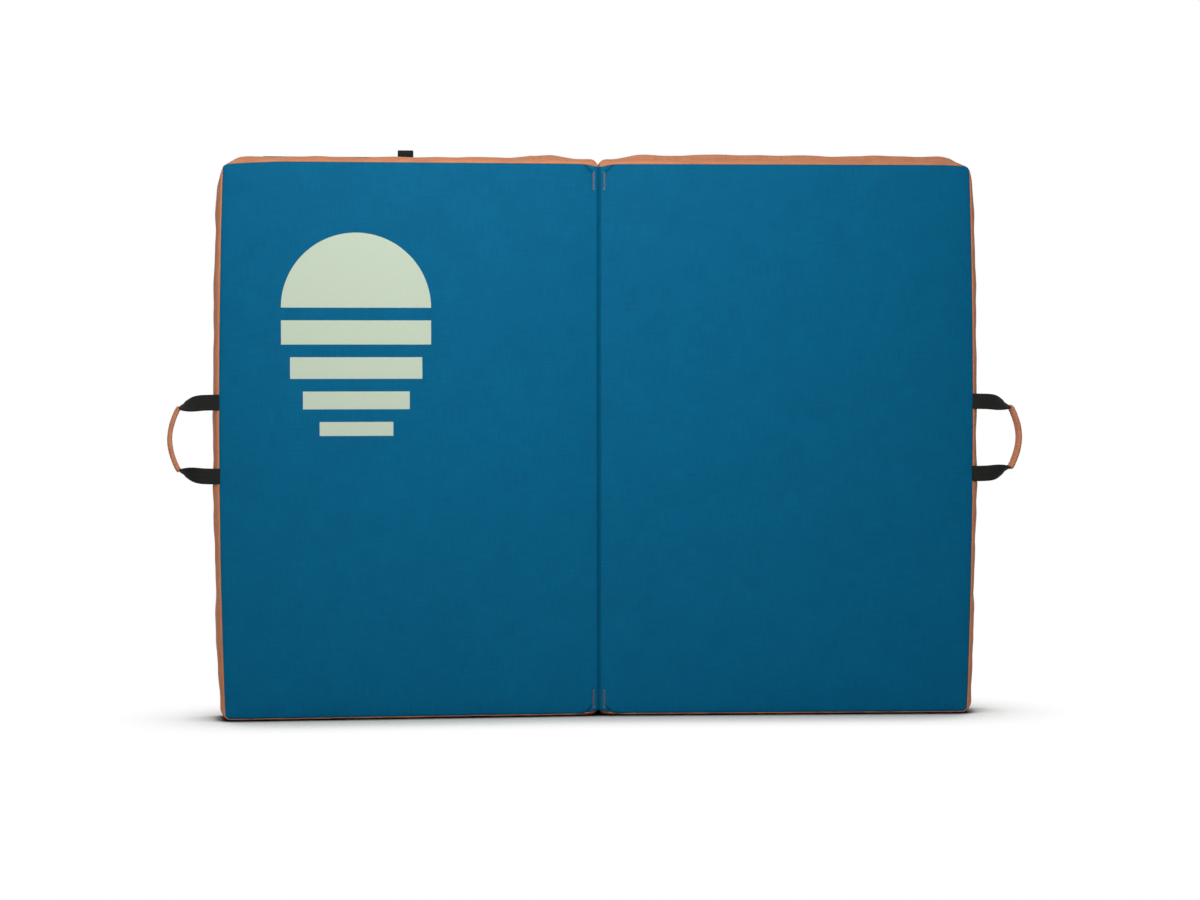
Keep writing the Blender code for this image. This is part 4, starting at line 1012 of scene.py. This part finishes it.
for name, way in (("left", -1), ("right", 1)):
    u = MIDDLE + way * SHOULDER_U
    axis = BACK + STANDOFF
    for end, z, up in (("upper", STRAP_TOP, 1), ("lower", STRAP_LOW, -1)):
        rows = [(u, axis, z + up * AIR / 2), (u, axis, z + up * STANDOFF * KNEE * 0.7),
                (u, axis - 0.0015, z + up * STANDOFF * KNEE * 1.15),
                (u, ON_PATCH + 0.0015, z + up * (STANDOFF + WEB / 2 - 0.004)),
                (u, ON_PATCH, z + up * (STANDOFF + WEB / 2)), (u, ON_PATCH, z + up * (STANDOFF + 0.030))]
        strap(f"{name}_{end}_tab_band", laid("left", rows), ACROSS["left"], "left_panel",
              [f"{name}_strap_{end}_tab"], spacing=0.0015)

    table = smooth(PAD_TABLE, 10)
    line = columns(u, axis + (PAD_BULGE - STANDOFF) * table[:, 1],
                   STRAP_TOP - AIR / 2 - PAD_LENGTH * table[:, 0])
    rings = np.array([rounded_profile(PAD_WIDE * wide, PAD_THICK * thick, 0.55, 40)
                      for _, _, wide, thick in table])
    pad = sweep(f"{name}_shoulder_pad", laid("left", line), ACROSS["left"], rings, binding,
                f"{name}_shoulder")
    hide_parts(f"{name}_strap_pad")

    pad_end = line[-1]
    foot = np.array((u, axis, STRAP_LOW + AIR / 2))
    knee = foot + (0, 0, STANDOFF * KNEE)
    length = float(np.linalg.norm(knee - pad_end))
    down = (knee - pad_end) / length
    axes = (down, np.array((0.0, -down[2], down[1])))
    wrap = PLATE / 2 + AIR + WEB_THICK / 2
    rail = [AIR + LOOP, AIR + LOOP + BAR]
    for _ in range(2):
        rail += [rail[-1] + SLOT, rail[-1] + SLOT + BAR]
    bar = rail[1] - BAR / 8
    rows = [(AIR, -wrap), (bar, -wrap)] + arc((bar, 0), wrap, -90, 90, 12)[1:] + [(AIR, wrap)]
    strap(f"{name}_lock_loop", along_axes("left", pad_end, axes, rows), ACROSS["left"],
          f"{name}_shoulder", [f"{name}_strap_keeper"], spacing=0.0012)
    turn = rail[2] + BAR / 8
    rows = [(length, 0), (length - WEB, 0), (rail[5] + WEB / 2, -wrap), (rail[5], -wrap), (turn, -wrap)]
    rows += arc((turn, 0), wrap, 270, 90, 12)[1:]
    rows += [(rail[5], wrap), (rail[5] + WEB, wrap + WEB_THICK), (rail[5] + TAIL, wrap + WEB / 2)]
    line = np.concatenate([laid("left", [foot]), along_axes("left", pad_end, axes, rows)])
    strap(f"{name}_shoulder_webbing", line, ACROSS["left"], f"{name}_shoulder",
          [f"{name}_strap_webbing"], spacing=0.0012)
    moulded(f"{name}_ladder_lock", f"{name}_shoulder", 0.0009, 3)

# Hip belts. Two belts hang from the waist patch, and a side-release buckle joins them in front
# of the wearer. One carries the socket and the other the prongs.
for name, way, half in (("left", -1, "socket"), ("right", 1, "prongs")):
    u = MIDDLE + way * HIP_U
    depth = BACK + AIR + 0.0055
    rows = [(u, ON_PATCH + (depth - ON_PATCH) * b, 0.300 - 0.180 * a)
            for a, b in smooth([(0.0, 0.0), (0.5, 0.2), (0.9, 1.0), (1.0, 1.0)], 8)]
    strap(f"{name}_hip_band", laid("left", rows), ACROSS["left"], f"{name}_hip", [f"{name}_hip_belt"],
          spacing=0.002)
    moulded(f"hip_buckle_{half}", f"{name}_hip", 0.0008, 3)

# Stitches. Running stitches of bonded thread hold the patches and tabs, and dense bar tacks
# take the load at the hinge and the strap ends. One node group lays both along given lines.
def stitch_group():
    """Thread along mesh edges: a solid line, or single stitches a pitch apart."""
    group = bpy.data.node_groups.new("stitch_line", "GeometryNodeTree")
    for name, kind in (("Lines", "NodeSocketGeometry"), ("Pitch", "NodeSocketFloat"),
                       ("Stitch", "NodeSocketFloat"), ("Thread", "NodeSocketFloat"),
                       ("Solid", "NodeSocketBool"), ("Material", "NodeSocketMaterial")):
        group.interface.new_socket(name, in_out="INPUT", socket_type=kind)
    group.interface.new_socket("Thread", in_out="OUTPUT", socket_type="NodeSocketGeometry")
    given = add(group, "NodeGroupInput").outputs
    curve = add(group, "GeometryNodeMeshToCurve", {0: given["Lines"]})
    spots = add(group, "GeometryNodeCurveToPoints", {"Curve": curve.outputs[0],
                                                     "Length": given["Pitch"]}, mode="LENGTH")
    ball = add(group, "GeometryNodeMeshUVSphere", {"Segments": 6, "Rings": 5, "Radius": 0.5})
    shape = add(group, "ShaderNodeCombineXYZ", {0: given["Thread"], 1: given["Thread"],
                                                2: given["Stitch"]})
    laid_down = add(group, "GeometryNodeInstanceOnPoints",
                    {"Points": spots.outputs["Points"], "Instance": ball.outputs["Mesh"],
                     "Rotation": spots.outputs["Rotation"], "Scale": shape.outputs[0]})
    single = add(group, "GeometryNodeRealizeInstances", {0: laid_down.outputs[0]})
    radius = add(group, "ShaderNodeMath", {0: given["Thread"], 1: 0.5}, operation="MULTIPLY")
    round_wire = add(group, "GeometryNodeCurvePrimitiveCircle", {"Resolution": 5,
                                                                 "Radius": radius.outputs[0]})
    solid = add(group, "GeometryNodeCurveToMesh", {"Curve": curve.outputs[0],
                                                   "Profile Curve": round_wire.outputs["Curve"],
                                                   "Fill Caps": True})
    chosen = add(group, "GeometryNodeSwitch", {"Switch": given["Solid"],
                                               "False": single.outputs[0],
                                               "True": solid.outputs[0]}, input_type="GEOMETRY")
    painted = add(group, "GeometryNodeSetMaterial", {"Geometry": chosen.outputs[0],
                                                     "Material": given["Material"]})
    add(group, "NodeGroupOutput", {0: painted.outputs[0]})
    return group


STITCH_GROUP = stitch_group()


def thread_finish(name, light, dark):
    material, tree = new_material(name)
    ply = speckle(tree, add(tree, "ShaderNodeTexCoord").outputs["Object"], 1800)
    finish(tree, {"Base Color": blended(tree, ply, srgb(dark), srgb(light)), "Roughness": 0.5,
                  "IOR": 1.53})
    return material


def stitched(name, lines, material, body, pitch=0.0042, stitch=0.0034, thread=0.0008, solid=False):
    """Sew along lines of places, all into one mesh that rides on a body."""
    verts = np.concatenate(lines)
    edges, first = [], 0
    for line in lines:
        edges += [(first + k, first + k + 1) for k in range(len(line) - 1)]
        first += len(line)
    mesh = bpy.data.meshes.new(name)
    mesh.from_pydata(verts.tolist(), edges, [])
    made = linked(name, mesh)
    layer = made.modifiers.new("thread", "NODES")
    layer.node_group = STITCH_GROUP
    values = {"Pitch": pitch, "Stitch": stitch, "Thread": thread, "Solid": solid,
              "Material": material}
    for item in STITCH_GROUP.interface.items_tree:
        if item.in_out == "INPUT" and item.name in values:
            layer[item.identifier] = values[item.name]
    depsgraph = bpy.context.evaluated_depsgraph_get()
    finished = bpy.data.meshes.new_from_object(made.evaluated_get(depsgraph))
    made.modifiers.remove(layer)
    made.data = finished
    finished.shade_smooth()
    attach(made, body)
    return made


def bar_tack(middle, along, across, length=0.026, width=0.0022, pitch=0.0011):
    """Zigzag line of places about a middle."""
    count = int(length / pitch)
    shares = np.linspace(-0.5, 0.5, count)
    sway = np.where(np.arange(count) % 2, 0.5, -0.5)
    along, across = [np.asarray(v, float) / np.linalg.norm(v) for v in (along, across)]
    return middle + np.outer(shares * length, along) + np.outer(sway * width, across)


def pressed(target, line, inward, lift=0.0002):
    """The line dropped on to the outside of a piece, from outside it and along inward."""
    tree = BVHTree.FromPolygons([v.co for v in target.data.vertices],
                                [p.vertices[:] for p in target.data.polygons])
    inward = Vector(inward).normalized()
    found = []
    for place in line:
        hit = tree.ray_cast(Vector(place) - inward * 0.03, inward, 0.06)[0]
        found.append((hit if hit else Vector(place)) - inward * lift)
    return np.array(found)


black_thread = thread_finish("black_thread", "2C2C2D", "161617")
orange_thread = thread_finish("dusty_orange_thread", "AE9182", "8E7468")
for side in SIDES:
    lines = [pressed(cover, bar_tack(placed(side, TACK_SPREAD, -0.002, z), (0, 0, 1), ACROSS[side],
                                     0.028, 0.0028, 0.0011), INTO[side], 0.0003)
             for z, _ in TACKS]
    stitched(f"{side}_hinge_tacks", lines, orange_thread, f"{side}_panel", thread=0.0011, solid=True)


def ring_line(places, spacing=0.0021):
    return evenly(np.concatenate([places, places[:1]]), spacing)


def sewn_box(u, low, high, half=0.0095, depth=ON_PATCH):
    """The sewn box with a cross that ends a strap."""
    corners = [(u - half, depth, low), (u + half, depth, low), (u + half, depth, high),
               (u - half, depth, high)]
    return [ring_line(laid("left", corners)), evenly(laid("left", [corners[0], corners[2]]), 0.0021),
            evenly(laid("left", [corners[1], corners[3]]), 0.0021)]


outward = -INTO["left"]
lines = []
for name, wide, low, high in PATCHES:
    target = bpy.data.objects[f"{name}_cloth"]
    for inset in (0.0045, 0.0105):
        half, cut = wide / 2 - inset, PATCH_CUT - 0.4 * inset
        a, b = low + inset, high - inset
        shape = [(-half + cut, a), (half - cut, a), (half, a + cut), (half, b - cut),
                 (half - cut, b), (-half + cut, b), (-half, b - cut), (-half, a + cut)]
        ring = ring_line(laid("left", [(MIDDLE + u, ON_PATCH, z) for u, z in shape]))
        lines.append(pressed(target, ring, outward))
for name, way in (("left", -1), ("right", 1)):
    u = MIDDLE + way * SHOULDER_U
    for end, z, up in (("upper", STRAP_TOP, 1), ("lower", STRAP_LOW, -1)):
        target = bpy.data.objects[f"{name}_{end}_tab_band"]
        near, far = z + up * (STANDOFF + WEB / 2 + 0.001), z + up * (STANDOFF + 0.0275)
        lines += [pressed(target, line, outward) for line in sewn_box(u, *sorted((near, far)))]
    target = bpy.data.objects[f"{name}_hip_band"]
    tacks = [pressed(target, bar_tack(placed("left", MIDDLE + way * HIP_U, ON_PATCH, z),
                                      ACROSS["left"], (0, 0, 1), 0.020, 0.0022), outward)
             for z in (0.293, 0.283)]
    stitched(f"{name}_hip_tacks", tacks, black_thread, f"{name}_hip")
for side_way in (-1, 1):
    target = bpy.data.objects["haul_loop_band"]
    middle = placed("left", MIDDLE + side_way * 0.063, ON_PATCH, haul_z)
    for shift in (-0.005, 0.005):
        tack = bar_tack(middle + ACROSS["left"] * shift, (0, 0, 1), ACROSS["left"], 0.020, 0.0022)
        lines.append(pressed(target, tack, outward))
stitched("harness_stitches", lines, black_thread, "left_panel")

size = {"cad": [list(corner) for corner in cad_bounds],
        "visual": [list(corner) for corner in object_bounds()]}
